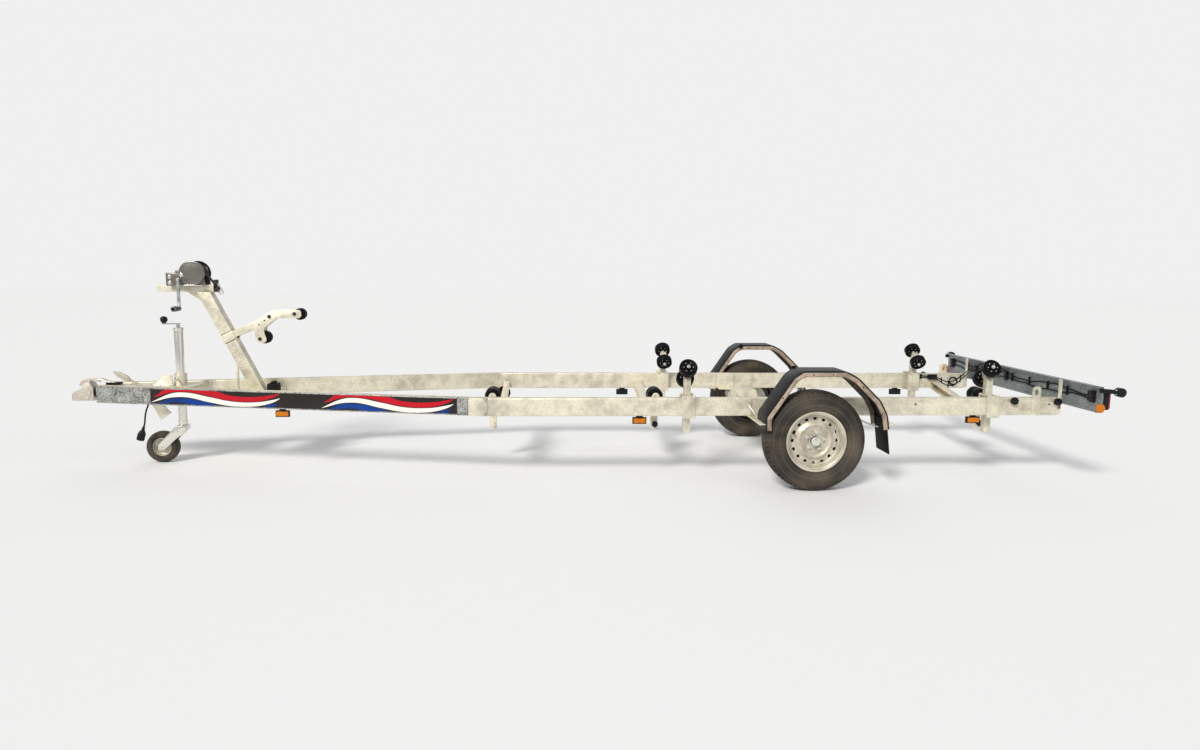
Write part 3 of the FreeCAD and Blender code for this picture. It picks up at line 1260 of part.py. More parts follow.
def make_side_marker(name, side, x, inner_y):
    """Black housing on a tab under the rail, and its amber lens."""
    housing = new_body(f"side_marker_{name}", node=False)
    half = s.side_marker_length / 2
    depth = s.side_marker_depth
    high = rail_foot - s.side_marker_drop / 3
    low = high - s.side_marker_height
    y = inner_y * side
    add_plate(housing, "XZ", y, depth, box_outline(x - half, low, x + half, high))
    add_plate(housing, "XZ", y, s.board_sheet, box_outline(x - half / 2, low, x + half / 2, rail_foot))
    lens = new_body(f"amber_{name}", node=False)
    wall = s.lens_depth / 2
    add_plate(lens, "XZ", y + (depth / 2 + wall / 2 + s.seat_gap) * side, wall, box_outline(
        x - half + wall, low + wall, x + half - wall, high - wall))
    return housing, lens


# Lead of the trailer plug: straight runs joined by tangent arcs, then the plug
def cord_path(points):
    """Wire through hand-set points, with each corner rounded as far as its runs allow."""
    places = [Vector(*point) for point in points]
    edges = []
    start = places[0]
    radii = []
    for before, corner, after in zip(places, places[1:], places[2:]):
        arriving = (corner - before).normalize()
        leaving = (after - corner).normalize()
        turn = arriving.getAngle(leaving)
        shorter = min((corner - before).Length, (after - corner).Length)
        radius = shorter * CORD_ARC_SHARE / math.tan(turn / 2)
        radii.append(round(radius, 1))
        back = shorter * CORD_ARC_SHARE
        first = corner - arriving * back
        last = corner + leaving * back
        inward = (leaving - arriving).normalize()
        centre = corner + inward * (radius / math.cos(turn / 2))
        mid = centre - inward * radius
        edges.append(Part.LineSegment(start, first).toShape())
        edges.append(Part.Arc(first, mid, last).toShape())
        start = last
    edges.append(Part.LineSegment(start, places[-1]).toShape())
    print("cord radii", radii)
    return Part.Wire(edges)


CORD_ARC_SHARE = 0.45
PLUG_LEAD_ROUTE = [
    (-2943, -30, 455), (-2943, -30, 438), (-2944, -34, 421), (-2946, -42, 405), (-2948, -55, 391),
    (-2947, -73, 370), (-2944, -92, 345), (-2940, -107, 319), (-2940, -114, 297), (-2946, -116, 276),
]


def make_plug_lead():
    wire = cord_path(PLUG_LEAD_ROUTE)
    first = Vector(*PLUG_LEAD_ROUTE[0])
    along = Vector(*PLUG_LEAD_ROUTE[1]) - first
    radius = float(s.cord_diameter / 2)
    ring = Part.Wire([Part.Circle(first, along, radius).toShape()])
    tube = wire.makePipeShell([ring], True, False, 2)
    item = doc.addObject("Part::Feature", "plug_lead")
    item.Label = "plug_lead"
    item.Shape = tube
    NODES["plug_lead"] = item
    expected = math.pi * radius ** 2 * wire.Length
    print("lead length", round(wire.Length, 1), "volume share", round(tube.Volume / expected, 4))

    end = Vector(*PLUG_LEAD_ROUTE[-1])
    axis = (end - Vector(*PLUG_LEAD_ROUTE[-2])).normalize()
    plug = new_body("plug", 0, 0, 0)
    plug.Placement = Placement(end, Rotation(Vector(0, 0, -1), axis))
    wide = s.plug_diameter / 2
    long = s.plug_length
    neck = s.cord_diameter
    add_turned(plug, "XZ", [
        (0, 0), (neck * 0.8, 0), (neck, -long * 0.25), (wide * 0.86, -long * 0.42), (wide, -long * 0.5),
        (wide, -long), (0, -long)])


def build_trailer():
    for name, side in SIDES.items():
        make_rail(name, side)
        make_leg(name, side)
    joined("lashing_eyes", [make_eye(name, side) for name, side in SIDES.items()])
    joined("splice_plates", [make_splice(name, side) for name, side in SIDES.items()])
    make_cross("front", -s.cross_front_reach, 1)
    make_cross("middle", -s.cross_middle_reach, -1)
    make_cross("rear", s.cross_rear_reach, -1)
    stations = (("front", -s.cross_front_reach, -1), ("middle", -s.cross_middle_reach, 1),
                ("rear", s.cross_rear_reach, 1))
    joined("keel_posts", [make_keel_post(*station) for station in stations] + [make_keel_guide()])
    for station in stations:
        make_keel_roller(*station)
    make_axle()
    for name, side in SIDES.items():
        make_hub(name, side)
        make_rim(name, side)
        make_tyre(name, side)
        make_guard(name, side)
    joined("mudflaps", [make_flap(name, side) for name, side in SIDES.items()])
    joined("mudguard_stays", [stay for name, side in SIDES.items() for stay in make_stays(name, side)])
    joined("overrun_housing", [make_overrun(), make_brake_rod()])
    make_bellows()
    make_coupling()
    make_coupling_handle()
    make_brake_lever()
    make_drawbar_plate()
    make_jockey()
    make_winch_foot()
    make_winch_post()
    make_winch()
    make_bow_arm()
    clamps = []
    for end, x in (("front", -s.side_front_reach), ("rear", s.side_rear_reach)):
        posts = []
        for name, side in SIDES.items():
            posts.append(make_side_post(f"{end}_{name}", side, x))
            posts.append(make_side_head(f"{end}_{name}", side, x))
            make_side_rollers(f"{end}_{name}", side, x)
            clamps.append(make_side_clamp(f"{end}_{name}", side, x))
        joined(f"side_posts_{end}", posts)
    joined("side_clamps", clamps)
    make_light_board()
    lamps, red = make_lamps()
    joined("board_tubes", [make_board_tube(name, side) for name, side in SIDES.items()])
    joined("lamps", lamps + [make_marker(name, side) for name, side in SIDES.items()])
    joined("lenses_red", red)
    housings = []
    amber = [make_reflector(name, side) for name, side in SIDES.items()]
    for name, side in SIDES.items():
        for end, x, y in (("front", -s.side_marker_front_reach, leg_centre(s.side_marker_front_reach)),
                          ("middle", -s.side_marker_middle_reach, s.rail_spacing / 2),
                          ("rear", s.side_marker_rear_reach, s.rail_spacing / 2)):
            housing, lens = make_side_marker(f"{end}_{name}", side, x, y)
            housings.append(housing)
            amber.append(lens)
    joined("side_markers", housings)
    joined("lenses_amber", amber)
    make_plug_lead()


def check_and_write():
    doc.recompute()
    failed = [item.Label for item in doc.Objects if "Invalid" in item.State or "Error" in item.State]
    for label, item in NODES.items():
        if item.Shape.isNull() or not item.Shape.isValid():
            failed.append(f"{label} has no valid shape")
    if failed:
        print("failed:", failed)
        sys.exit(1)
    os.makedirs("parts", exist_ok=True)
    for label, item in NODES.items():
        item.Shape.exportStep(f"parts/{label}.step")
    print(len(NODES), "sub-parts written")


build_trailer()
check_and_write()
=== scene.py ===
# %% [markdown]
# # A boat trailer
# The real thing is a galvanised drawbar frame on one axle, with rubber rollers for a hull, a winch on a
# leaning post and a light board across the tail. Its solids come from CAD and stay where they are. This
# file gives them their finishes and adds what is too small for the solids. Lengths are in metres, with X
# towards the tail, Y towards the far side and Z up. Only the sections for the lathe are in millimetres.

# %% Start
import json
import math
import random

import bmesh
import bpy
from mathutils import Matrix, Vector


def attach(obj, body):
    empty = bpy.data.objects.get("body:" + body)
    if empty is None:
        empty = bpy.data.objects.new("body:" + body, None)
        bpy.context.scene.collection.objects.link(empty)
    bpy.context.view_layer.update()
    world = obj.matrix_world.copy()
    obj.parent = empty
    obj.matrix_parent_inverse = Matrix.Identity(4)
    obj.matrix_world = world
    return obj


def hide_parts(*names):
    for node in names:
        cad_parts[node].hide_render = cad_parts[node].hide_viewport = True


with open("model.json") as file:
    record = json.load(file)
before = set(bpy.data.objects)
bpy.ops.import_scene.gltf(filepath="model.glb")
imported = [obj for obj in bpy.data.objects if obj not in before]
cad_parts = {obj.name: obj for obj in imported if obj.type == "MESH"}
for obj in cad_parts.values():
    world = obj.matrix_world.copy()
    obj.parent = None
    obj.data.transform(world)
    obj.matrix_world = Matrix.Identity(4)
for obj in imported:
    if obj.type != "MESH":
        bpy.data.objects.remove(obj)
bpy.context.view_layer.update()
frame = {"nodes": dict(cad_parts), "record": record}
chance = random.Random(7)
X, Y, Z = Vector((1, 0, 0)), Vector((0, 1, 0)), Vector((0, 0, 1))
SIDES = {"left": -1, "right": 1}

# %% [markdown]
# ## Camera
# The trailer was seen from its left side, a little above its rails. A camera can be turned with three
# angles, but its axes say more: one looks ahead, one lies across the picture and one points up in it.
# They are made from yaw, pitch and roll here and fill the columns of the camera's matrix.

# %% Camera
EYE = Vector((-0.1416, -6.2142, 1.424))
YAW, PITCH, ROLL = 0.0643, 0.1268, 0.0091
ahead = Vector((math.sin(YAW) * math.cos(PITCH), math.cos(YAW) * math.cos(PITCH), -math.sin(PITCH)))
level = Vector((math.cos(YAW), -math.sin(YAW), 0))
raised = level.cross(ahead)
across = level * math.cos(ROLL) + raised * math.sin(ROLL)
upward = raised * math.cos(ROLL) - level * math.sin(ROLL)
camera_data = bpy.data.cameras.new("camera")
camera_data.sensor_width = 36
camera_data.lens = 25.72
camera = bpy.data.objects.new("camera", camera_data)
camera.matrix_world = Matrix.Translation(EYE) @ Matrix((across, upward, -ahead)).transposed().to_4x4()
bpy.context.scene.collection.objects.link(camera)
bpy.context.scene.camera = camera
print("camera at", [round(value, 2) for value in EYE])

# %% [markdown]
# ## Finishes
# Each surface of the trailer is worked out from its own place in space, so no picture is needed. Shader
# sums could be drawn as boxes and threads, but written out they read like the sums they are. The first
# small class lets sockets be added and multiplied with plain signs. The second makes a material and any
# node in it from its type, its settings and what goes into its sockets.

# %% Shader sums
class Flow:
    """A number that runs through the shader, with the signs that make Math nodes of it."""

    def __init__(self, finish, socket):
        self.finish = finish
        self.socket = socket

    def __add__(self, other):
        return self.finish.sum("ADD", self, other)

    def __sub__(self, other):
        return self.finish.sum("SUBTRACT", self, other)

    def __rsub__(self, other):
        return self.finish.sum("SUBTRACT", other, self)

    def __mul__(self, other):
        return self.finish.sum("MULTIPLY", self, other)

    def __gt__(self, other):
        return self.finish.sum("GREATER_THAN", self, other)

    def __abs__(self):
        return self.finish.sum("ABSOLUTE", self)

    __radd__ = __add__
    __rmul__ = __mul__


SLOT_OF = {"rough_galvanised_steel": "galvanised_steel", "galvanised_sheet": "galvanised_steel",
           "dark_cast_steel": "dark_steel", "clear_lens": "red_lens"}
SLOT_OF |= dict.fromkeys(("cast_zinc", "grey_cast_steel", "crank_steel"), "zinc_plate")
SLOT_OF |= dict.fromkeys(
    ("black_film", "red_film", "white_film", "blue_film", "mudguard_paint", "knob_plastic"), "black_plastic")


class Finish:
    """A material with one principled shader, and the record's slot that it belongs to."""

    def __init__(self, name, roughness=0.5, metallic=0, coat=0, specular=0.5):
        self.slot = SLOT_OF.get(name, name)
        self.material = bpy.data.materials.new(name)
        self.material.use_nodes = True
        self.nodes = self.material.node_tree.nodes
        self.links = self.material.node_tree.links
        self.shader = self.nodes["Principled BSDF"]
        self.shader.inputs["Roughness"].default_value = roughness
        self.shader.inputs["Metallic"].default_value = metallic
        self.shader.inputs["Coat Weight"].default_value = coat
        self.shader.inputs["Specular IOR Level"].default_value = specular
        self.place = self.node("ShaderNodeTexCoord", output="Object")

    def plug(self, socket, value):
        if isinstance(value, Flow):
            self.links.new(value.socket, socket)
        else:
            socket.default_value = value

    def node(self, kind, inputs=None, output=0, **settings):
        made = self.nodes.new(kind)
        for setting, value in settings.items():
            setattr(made, setting, value)
        for socket, value in (inputs or {}).items():
            self.plug(made.inputs[socket], value)
        return Flow(self, made.outputs[output])

    def sum(self, operation, *values):
        return self.node("ShaderNodeMath", dict(enumerate(values)), operation=operation)

    def noise(self, scale, detail=3, place=None):
        return self.node("ShaderNodeTexNoise", {
            "Vector": place or self.place, "Scale": scale, "Detail": detail}, output="Fac")

    def between(self, flow, low, high):
        """Nought below one value, one above another and a smooth rise in between."""
        return self.node("ShaderNodeMapRange", {
            "Value": flow, "From Min": low, "From Max": high}, interpolation_type="SMOOTHSTEP")

    def mixed(self, share, first, second):
        """A colour that goes from the first to the second as the share grows."""
        first, second = ((*value, 1) if isinstance(value, tuple) else value for value in (first, second))
        return self.node("ShaderNodeMix", {0: share, 6: first, 7: second}, output=2, data_type="RGBA")

    def axis(self, letter):
        return self.node("ShaderNodeSeparateXYZ", {0: self.place}, output=letter)

    def feed(self, socket, flow):
        self.links.new(flow.socket, self.shader.inputs[socket])

    def bump(self, height, distance, strength=1):
        self.feed("Normal", self.node("ShaderNodeBump", {
            "Height": height, "Distance": distance, "Strength": strength}, output="Normal"))


print("shader sums ready")

# %% [markdown]
# ## Hot-dip galvanised steel
# Zinc that sets on steel grows crystals as wide as a fingernail. Each reflects a little differently,
# and over them lie dull clouds and a few grey runs. Cells give the crystals, noise of two sizes gives
# the clouds, and the same flows make the gloss uneven. The rough ends of the drawbar, where the coat is
# young, have the pattern at full strength.

# %% Galvanised steel
def galvanised(name, light, shade, dark, flecks, contrast=0.5, speckle=0.3, rough_place=None):
    """Zinc in soft clouds with flecks; where the rough place is one, grey crystals lie open."""
    finish = Finish(name, metallic=0.4)
    crystal = finish.node("ShaderNodeTexVoronoi", {"Vector": finish.place, "Scale": 150}, output="Color")
    crystal = finish.node("ShaderNodeSeparateColor", {0: crystal})
    cloud = finish.noise(2.2, 4)
    patch = finish.noise(14, 4)
    grain = finish.noise(60, 3)
    fine = finish.noise(260, 2)
    tone = finish.between(cloud * 0.5 + patch * 0.5 + (crystal - 0.5) * (0.14 * contrast), 0.4, 0.63)
    colour = finish.mixed(tone, light, shade)
    stains = finish.between(patch * 0.5 + cloud * 0.5 + fine * 0.1, 0.6, 0.72)
    colour = finish.mixed(stains * 0.3, colour, dark)
    specks = finish.between(grain * 0.6 + fine * 0.45, 0.52, 0.66)
    colour = finish.mixed(specks * speckle, colour, flecks)
    if rough_place:
        flakes = finish.between(crystal * 0.28 + patch * 0.5 + grain * 0.5 + fine * 0.3, 0.55, 1)
        flaked = finish.mixed(flakes, ROUGH_DARK, ROUGH_LIGHT)
        colour = finish.mixed(rough_place(finish), colour, flaked)
    finish.feed("Base Color", colour)
    finish.feed("Roughness", 0.32 + patch * 0.22 + grain * 0.12)
    finish.bump(grain * 0.35 + crystal * 0.25 + fine * 0.25, 0.0005, 0.5)
    return finish


LEG_TOE = Vector((-3.255, 0.083, 0))
LEG_BEND = Vector((-0.51, 0.654, 0))
LEG_HALF = 0.0306
LEG_SLOPE = (LEG_BEND.y - LEG_TOE.y) / (LEG_BEND.x - LEG_TOE.x)


def outer_face(finish):
    """One on the outer faces of both drawbar legs and nought on their other sides."""
    centre = finish.axis("X") * LEG_SLOPE + (LEG_TOE.y - LEG_TOE.x * LEG_SLOPE)
    return finish.between(abs(finish.axis("Y")) - centre, LEG_HALF - 0.008, LEG_HALF - 0.002)


LIGHT_ZINC, WARM_ZINC, GREY_ZINC = (0.84, 0.795, 0.645), (0.61, 0.57, 0.46), (0.24, 0.235, 0.21)
TAN_FLECKS = (0.42, 0.34, 0.24)
ROUGH_DARK, ROUGH_LIGHT = (0.085, 0.092, 0.088), (0.5, 0.51, 0.48)
steel = galvanised("galvanised_steel", LIGHT_ZINC, WARM_ZINC, GREY_ZINC, TAN_FLECKS)
rough_steel = galvanised("rough_galvanised_steel", LIGHT_ZINC, WARM_ZINC, GREY_ZINC, TAN_FLECKS,
                         rough_place=outer_face)
sheet_steel = galvanised("galvanised_sheet", (0.36, 0.395, 0.4), (0.2, 0.23, 0.245), (0.07, 0.085, 0.1),
                         (0.07, 0.085, 0.1), contrast=2, speckle=0.5)
print("galvanised finishes:", [finish.material.name for finish in (steel, rough_steel, sheet_steel)])

# %% [markdown]
# ## The other finishes
# Bright zinc plate on bolts, cream-silver paint on the wheels with painted shade in their ring grooves, black
# paint on the mudguards with painted sunlight on their lips, rubbers with grey dust, black moulded plastic,
# woven webbing and clear lenses.
# They differ in what noise does to them, so one maker with a few numbers covers most.

# %% Plain finishes
def dusted(name, colour, dust, amount=0.4, roughness=0.6, scale=9, grain=0.0003, **surface):
    """A base colour with dust in soft clouds and a fine grain that roughens it."""
    finish = Finish(name, **surface)
    cloud = finish.noise(scale, 6)
    fine = finish.noise(scale * 45, 2)
    layer = finish.between(cloud * 0.8 + fine * 0.3, 0.4, 0.85)
    finish.feed("Base Color", finish.mixed(layer * amount, colour, dust))
    finish.feed("Roughness", roughness - 0.12 + layer * 0.3)
    finish.bump(fine, grain, 0.6)
    return finish


zinc_plate = dusted("zinc_plate", (0.82, 0.81, 0.74), (0.58, 0.57, 0.5), 0.35, 0.3, 1.2, 0.00002, metallic=0.8)
cast_zinc = dusted("cast_zinc", (0.62, 0.57, 0.49), (0.36, 0.32, 0.27), 0.6, 0.5, 22, metallic=0.4)
grey_cast = dusted("grey_cast_steel", (0.21, 0.2, 0.185), (0.12, 0.115, 0.105), 0.6, 0.4, 24, metallic=0.7)
crank_steel = dusted("crank_steel", (0.46, 0.47, 0.49), (0.3, 0.3, 0.31), 0.5, 0.34, 24, metallic=0.8)
dark_cast = dusted("dark_cast_steel", (0.05, 0.05, 0.05), (0.14, 0.105, 0.08), 0.45, 0.55, 16, metallic=0.5)
black_rubber = dusted("black_rubber", (0.006, 0.006, 0.007), (0.04, 0.037, 0.034), 0.2, 0.66, specular=0.15)
roller_rubber = dusted("roller_rubber", (0.003, 0.003, 0.004), (0.016, 0.016, 0.016), 0.2, 0.4, 14,
                       specular=0.12)
black_plastic = dusted("black_plastic", (0.007, 0.007, 0.009), (0.04, 0.04, 0.04), 0.2, 0.42, 18,
                       specular=0.2)
knob_plastic = dusted("knob_plastic", (0.005, 0.005, 0.006), (0.02, 0.02, 0.02), 0.2, 0.3, 30,
                      specular=0.25)
red_lens = dusted("red_lens", (0.42, 0.008, 0.008), (0.24, 0.01, 0.01), 0.4, 0.2, 30, coat=0.4)
amber_lens = dusted("amber_lens", (0.62, 0.19, 0.002), (0.36, 0.08, 0.002), 0.7, 0.24, 30, coat=0.15,
                    specular=0.25)
clear_lens = dusted("clear_lens", (0.62, 0.7, 0.74), (0.38, 0.44, 0.48), 0.5, 0.14, 30, coat=0.8)
film_black = dusted("black_film", (0.016, 0.013, 0.012), (0.045, 0.038, 0.034), 0.35, 0.4, 6, specular=0.25)
film_red = dusted("red_film", (0.54, 0.003, 0.015), (0.34, 0.004, 0.012), 0.5, 0.38, 6, specular=0.25)
film_white = dusted("white_film", (0.9, 0.88, 0.8), (0.66, 0.64, 0.56), 0.4, 0.38, 6)
film_blue = dusted("blue_film", (0.002, 0.045, 0.28), (0.001, 0.01, 0.06), 0.8, 0.38, 4, specular=0.25)


AXLE = Vector((1.58, 0, 0.325))


def from_axle(finish):
    """The height above the road wheels' axis, the length past it and the distance from it."""
    height, along = finish.axis("Z") - AXLE.z, finish.axis("X") - AXLE.x
    return height, along, finish.sum("SQRT", height * height + along * along)


def tyre_finish():
    """Brown-black rubber with dust, and fine raised ticks in two rings on each sidewall."""
    finish = Finish("tyre_rubber", specular=0.3)
    height, along, radius = from_axle(finish)
    tick = finish.sum("FRACT", finish.sum("ARCTAN2", height, along) * (90 / math.pi))
    ring = finish.between(radius, 0.2335, 0.2345) - finish.between(radius, 0.2415, 0.2425)
    ring = ring + finish.between(radius, 0.2785, 0.2795) - finish.between(radius, 0.2835, 0.2845)
    marks = (tick > 0.55) * ring
    cloud = finish.noise(5, 6)
    fine = finish.noise(190, 2)
    dust = finish.between(cloud * 0.9 + fine * 0.25, 0.42, 0.8)
    colour = finish.mixed(dust * 0.8, (0.024, 0.02, 0.016), (0.135, 0.11, 0.084))
    finish.feed("Base Color", finish.mixed(marks * 0.4, colour, (0.19, 0.16, 0.125)))
    finish.feed("Roughness", 0.6 + dust * 0.3)
    finish.bump(fine * 0.4 + marks, 0.0006, 0.8)
    return finish


def wheel_finish():
    """Cream-silver paint with dust spots, painted shade in the ring grooves and round the hub, and painted
    shade within the barrel.
    """
    finish = Finish("silver_wheel_paint", metallic=0.35, coat=0.1)
    cloud = finish.noise(14, 5)
    radius = from_axle(finish)[2]
    # painted shade: dark rings in the rim's grooves and round the hub, made uneven by clouds
    groove_shade = (finish.between(radius, 0.05, 0.056) - finish.between(radius, 0.088, 0.098)) * 0.35
    for ring in (0.1515, 0.166, 0.1805):
        groove_shade = groove_shade + finish.between(radius, ring - 0.0025, ring - 0.0008)
        groove_shade = groove_shade - finish.between(radius, ring + 0.0008, ring + 0.0025)
    spots = finish.between(finish.noise(90, 4), 0.58, 0.72)
    out = abs(finish.axis("Y"))
    # painted shade: the barrel's inner faces are made near black, as if in shadow
    barrel_shade = finish.between(0.9035 - out, 0, 0.002) * finish.between(out, 0.7, 0.71)
    colour = finish.mixed(finish.between(cloud, 0.35, 0.75), (0.66, 0.62, 0.51), (0.44, 0.405, 0.33))
    colour = finish.mixed(spots * 0.45, colour, (0.24, 0.19, 0.13))
    colour = finish.mixed(groove_shade * (cloud + 0.1), colour, (0.2, 0.16, 0.115))
    finish.feed("Base Color", finish.mixed(barrel_shade, colour, (0.035, 0.03, 0.026)))
    finish.feed("Roughness", 0.36 + cloud * 0.25)
    finish.bump(finish.noise(300, 2), 0.0002, 0.5)
    return finish


def woven(name, colour, thread):
    """Flat webbing: two sets of waves that cross make the weave."""
    finish = Finish(name, roughness=0.8)
    turned = finish.node("ShaderNodeMapping", {"Vector": finish.place, "Rotation": (0, 0.8, 0)})
    warp = finish.node("ShaderNodeTexWave", {"Vector": turned, "Scale": 150}, bands_direction="Y")
    weft = finish.node("ShaderNodeTexWave", {"Vector": turned, "Scale": 110}, bands_direction="Z")
    weave = warp * weft
    finish.feed("Base Color", finish.mixed(weave, colour, thread))
    finish.bump(weave, 0.0006, 0.8)
    return finish


GUARD_ARCH = [(1.242, 0.402), (1.24, 0.49), (1.41, 0.742), (1.47, 0.782), (1.745, 0.782), (1.825, 0.74),
              (1.975, 0.595), (2.025, 0.5), (2.038, 0.41)]


def guard_finish():
    """Black paint over the mudguard's skin and its corner; the folded lips are painted a warm tan as if sunlit,
    darker towards their inner edge.
    """
    finish = Finish("mudguard_paint", coat=0.05, specular=0.2)
    cloud = finish.noise(6, 5)
    streak = finish.noise(28, 4)
    fine = finish.noise(220, 2)
    x, z = finish.axis("X"), finish.axis("Z")
    depth = None
    for (x0, z0), (x1, z1) in zip(GUARD_ARCH, GUARD_ARCH[1:]):
        run, rise = Vector((x1 - x0, z1 - z0)).normalized()
        inward = x * rise - z * run + (z0 * run - x0 * rise)
        depth = inward if depth is None else finish.sum("MINIMUM", depth, inward)
    out = abs(finish.axis("Y"))
    lips = finish.between(out, 0.9855, 0.9865) + finish.between(0.7785 - out, 0, 0.001)
    # painted light: past a black band at the outer edge, the lips get a sunlit tan instead of their black
    sunlit_lip = lips * finish.between(depth + streak * 0.006, 0.012, 0.015)
    black = finish.mixed(finish.between(cloud, 0.4, 0.8) * 0.4, (0.008, 0.008, 0.011), (0.04, 0.038, 0.037))
    tone = finish.between(streak * 0.5 + cloud * 0.4 + fine * 0.15, 0.4, 0.68)
    sunlit_tan = finish.mixed(tone, (0.47, 0.37, 0.285), (0.2, 0.15, 0.115))
    sunlit_tan = finish.mixed(finish.between(depth, 0.028, 0.04) * 0.6, sunlit_tan, (0.12, 0.09, 0.07))
    finish.feed("Base Color", finish.mixed(sunlit_lip, black, sunlit_tan))
    finish.feed("Roughness", 0.34 + cloud * 0.3)
    finish.bump(fine * 0.3 - sunlit_lip, 0.0004, 0.6)
    return finish


tyre_rubber = tyre_finish()
wheel_paint = wheel_finish()
webbing = woven("webbing", (0.015, 0.015, 0.017), (0.06, 0.06, 0.065))
mudguard_paint = guard_finish()
print("finishes made:", len(bpy.data.materials))

# %% [markdown]
# ## Tools for making pieces
# Small hardware comes down to a few shop operations: turning a half section on a lathe, a straight rod,
# a block with eased edges, a plate sawn from an outline, and a hexagon bolt. Each one adds to a mesh
# that is still open, so that a whole set of bolts becomes one piece.

# %% Shop operations
def steered(direction):
    """A turn that brings the Z axis onto a direction."""
    return Z.rotation_difference(Vector(direction).normalized()).to_matrix().to_4x4()


def turned(bm, section, centre, axis, steps=48):
    """Spins a half section round an axis: pairs of radius and distance along it, in millimetres."""
    turn = steered(axis)
    place = Matrix.Translation(Vector(centre)) @ turn
    verts = [bm.verts.new(place @ Vector((radius / 1000, 0, along / 1000))) for radius, along in section]
    edges = [bm.edges.new(pair) for pair in zip(verts, verts[1:] + verts[:1])]
    bmesh.ops.spin(bm, geom=verts + edges, cent=Vector(centre), axis=turn @ Z, dvec=(0, 0, 0),
                   angle=math.tau, steps=steps, use_merge=True, use_duplicate=False)


def rod(bm, start, end, radius, sides=16, tip=None):
    """A round bar from one point to another; with a tip radius it tapers."""
    start, end = Vector(start), Vector(end)
    return bmesh.ops.create_cone(
        bm, cap_ends=True, cap_tris=False, segments=sides, radius1=radius,
        radius2=radius if tip is None else tip, depth=(end - start).length,
        matrix=Matrix.Translation((start + end) / 2) @ steered(end - start))["verts"]


def rounded(bm, edges, width, segments):
    """Gives edges a round; the profile and the material are not the ones an operator starts with."""
    bmesh.ops.bevel(bm, geom=edges, offset=width, offset_type="OFFSET", segments=segments, profile=0.5,
                    affect="EDGES", clamp_overlap=True, material=-1)


def eased_edges(bm, verts, width, segments=2, angle=30):
    """Rounds the sharp edges between some of a mesh's points."""
    chosen = set(verts)
    rounded(bm, [edge for edge in bm.edges if chosen.issuperset(edge.verts) and edge.is_manifold
                 and edge.calc_face_angle(0) > math.radians(angle)], width, segments)


def pulled(bm, faces, move):
    """Extrudes faces along a move and gives back the points of the new end."""
    grown = bmesh.ops.extrude_face_region(bm, geom=faces)["geom"]
    moved = [item for item in grown if isinstance(item, bmesh.types.BMVert)]
    bmesh.ops.translate(bm, verts=moved, vec=move)
    return moved


def ring_of(centre, radius, count, first=X, second=Z, start=0):
    """Places spread evenly round a centre, in the plane of two directions."""
    for index in range(count):
        angle = math.tau * (index + start) / count
        yield Vector(centre) + (first * math.cos(angle) + second * math.sin(angle)) * radius


def block(bm, low, high, ease=0, turn=None):
    """A box between two corners, turned about its middle if a turn is given."""
    low, high = Vector(low), Vector(high)
    size = Matrix.Diagonal((*(high - low), 1))
    verts = bmesh.ops.create_cube(
        bm, size=1, matrix=Matrix.Translation((low + high) / 2) @ (turn or Matrix()) @ size)["verts"]
    if ease:
        eased_edges(bm, verts, ease)


def plate(bm, outline, y_near, y_far, ease=0):
    """A plate sawn from an outline of (x, z) pairs, between two distances across the trailer."""
    verts = [bm.verts.new((x, y_near, z)) for x, z in outline]
    verts += pulled(bm, [bm.faces.new(verts)], (0, y_far - y_near, 0))
    if ease:
        eased_edges(bm, verts, ease)


def bolt(bm, place, axis, size=0.008, washer=True):
    """A hexagon head on a washer, standing off a face along the axis."""
    place, axis = Vector(place), Vector(axis).normalized()
    if washer:
        rod(bm, place, place + axis * size * 0.25, size * 1.25, 20)
    head = rod(bm, place + axis * size * 0.25, place + axis * size * 1.05, size, 6)
    eased_edges(bm, head, size * 0.1, 1)
    rod(bm, place + axis * size * 1.05, place + axis * size * 1.4, size * 0.5, 12, size * 0.42)


def star_knob(bm, place, axis, radius, depth, lobes=6):
    """A clamping knob whose rim goes in and out round its screw."""
    turn = Matrix.Translation(Vector(place)) @ steered(axis)
    ring = bmesh.ops.create_circle(bm, cap_ends=True, radius=radius, segments=lobes * 4, matrix=turn)["verts"]
    centre = Vector(place)
    for index, vert in enumerate(ring):
        vert.co = centre + (vert.co - centre) * (0.86 + 0.14 * math.cos(math.tau * index / 4))
    moved = pulled(bm, [ring[0].link_faces[0]], Vector(axis).normalized() * depth)
    eased_edges(bm, ring + moved, radius * 0.12, 2, 50)


def piece(name, bm, finish, body="frame", stands_for=(), smooth=35):
    """Closes a mesh, gives it its finish and lets it ride on a body."""
    bmesh.ops.remove_doubles(bm, verts=bm.verts, dist=0.000002)
    bmesh.ops.recalc_face_normals(bm, faces=bm.faces)
    mesh = bpy.data.meshes.new(name)
    bm.to_mesh(mesh)
    bm.free()
    mesh.polygons.foreach_set("use_smooth", [True] * len(mesh.polygons))
    mesh.set_sharp_from_angle(angle=math.radians(smooth))
    made = bpy.data.objects.new(name, mesh)
    bpy.context.scene.collection.objects.link(made)
    mesh.materials.append(finish.material)
    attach(made, body)
    if stands_for:
        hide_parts(*stands_for)
    return made


BODY_OF = {node: body for body, nodes in frame["record"]["behaviour"]["bodies"].items() for node in nodes}


def round_bends(bm, width):
    """Rounds the shallow bends across the trailer, as a brake press leaves them."""
    rounded(bm, [edge for edge in bm.edges if edge.is_manifold
                 and abs((edge.verts[1].co - edge.verts[0].co).normalized().y) > 0.99
                 and math.radians(7) < edge.calc_face_angle(0) < math.radians(45)], width, 5)


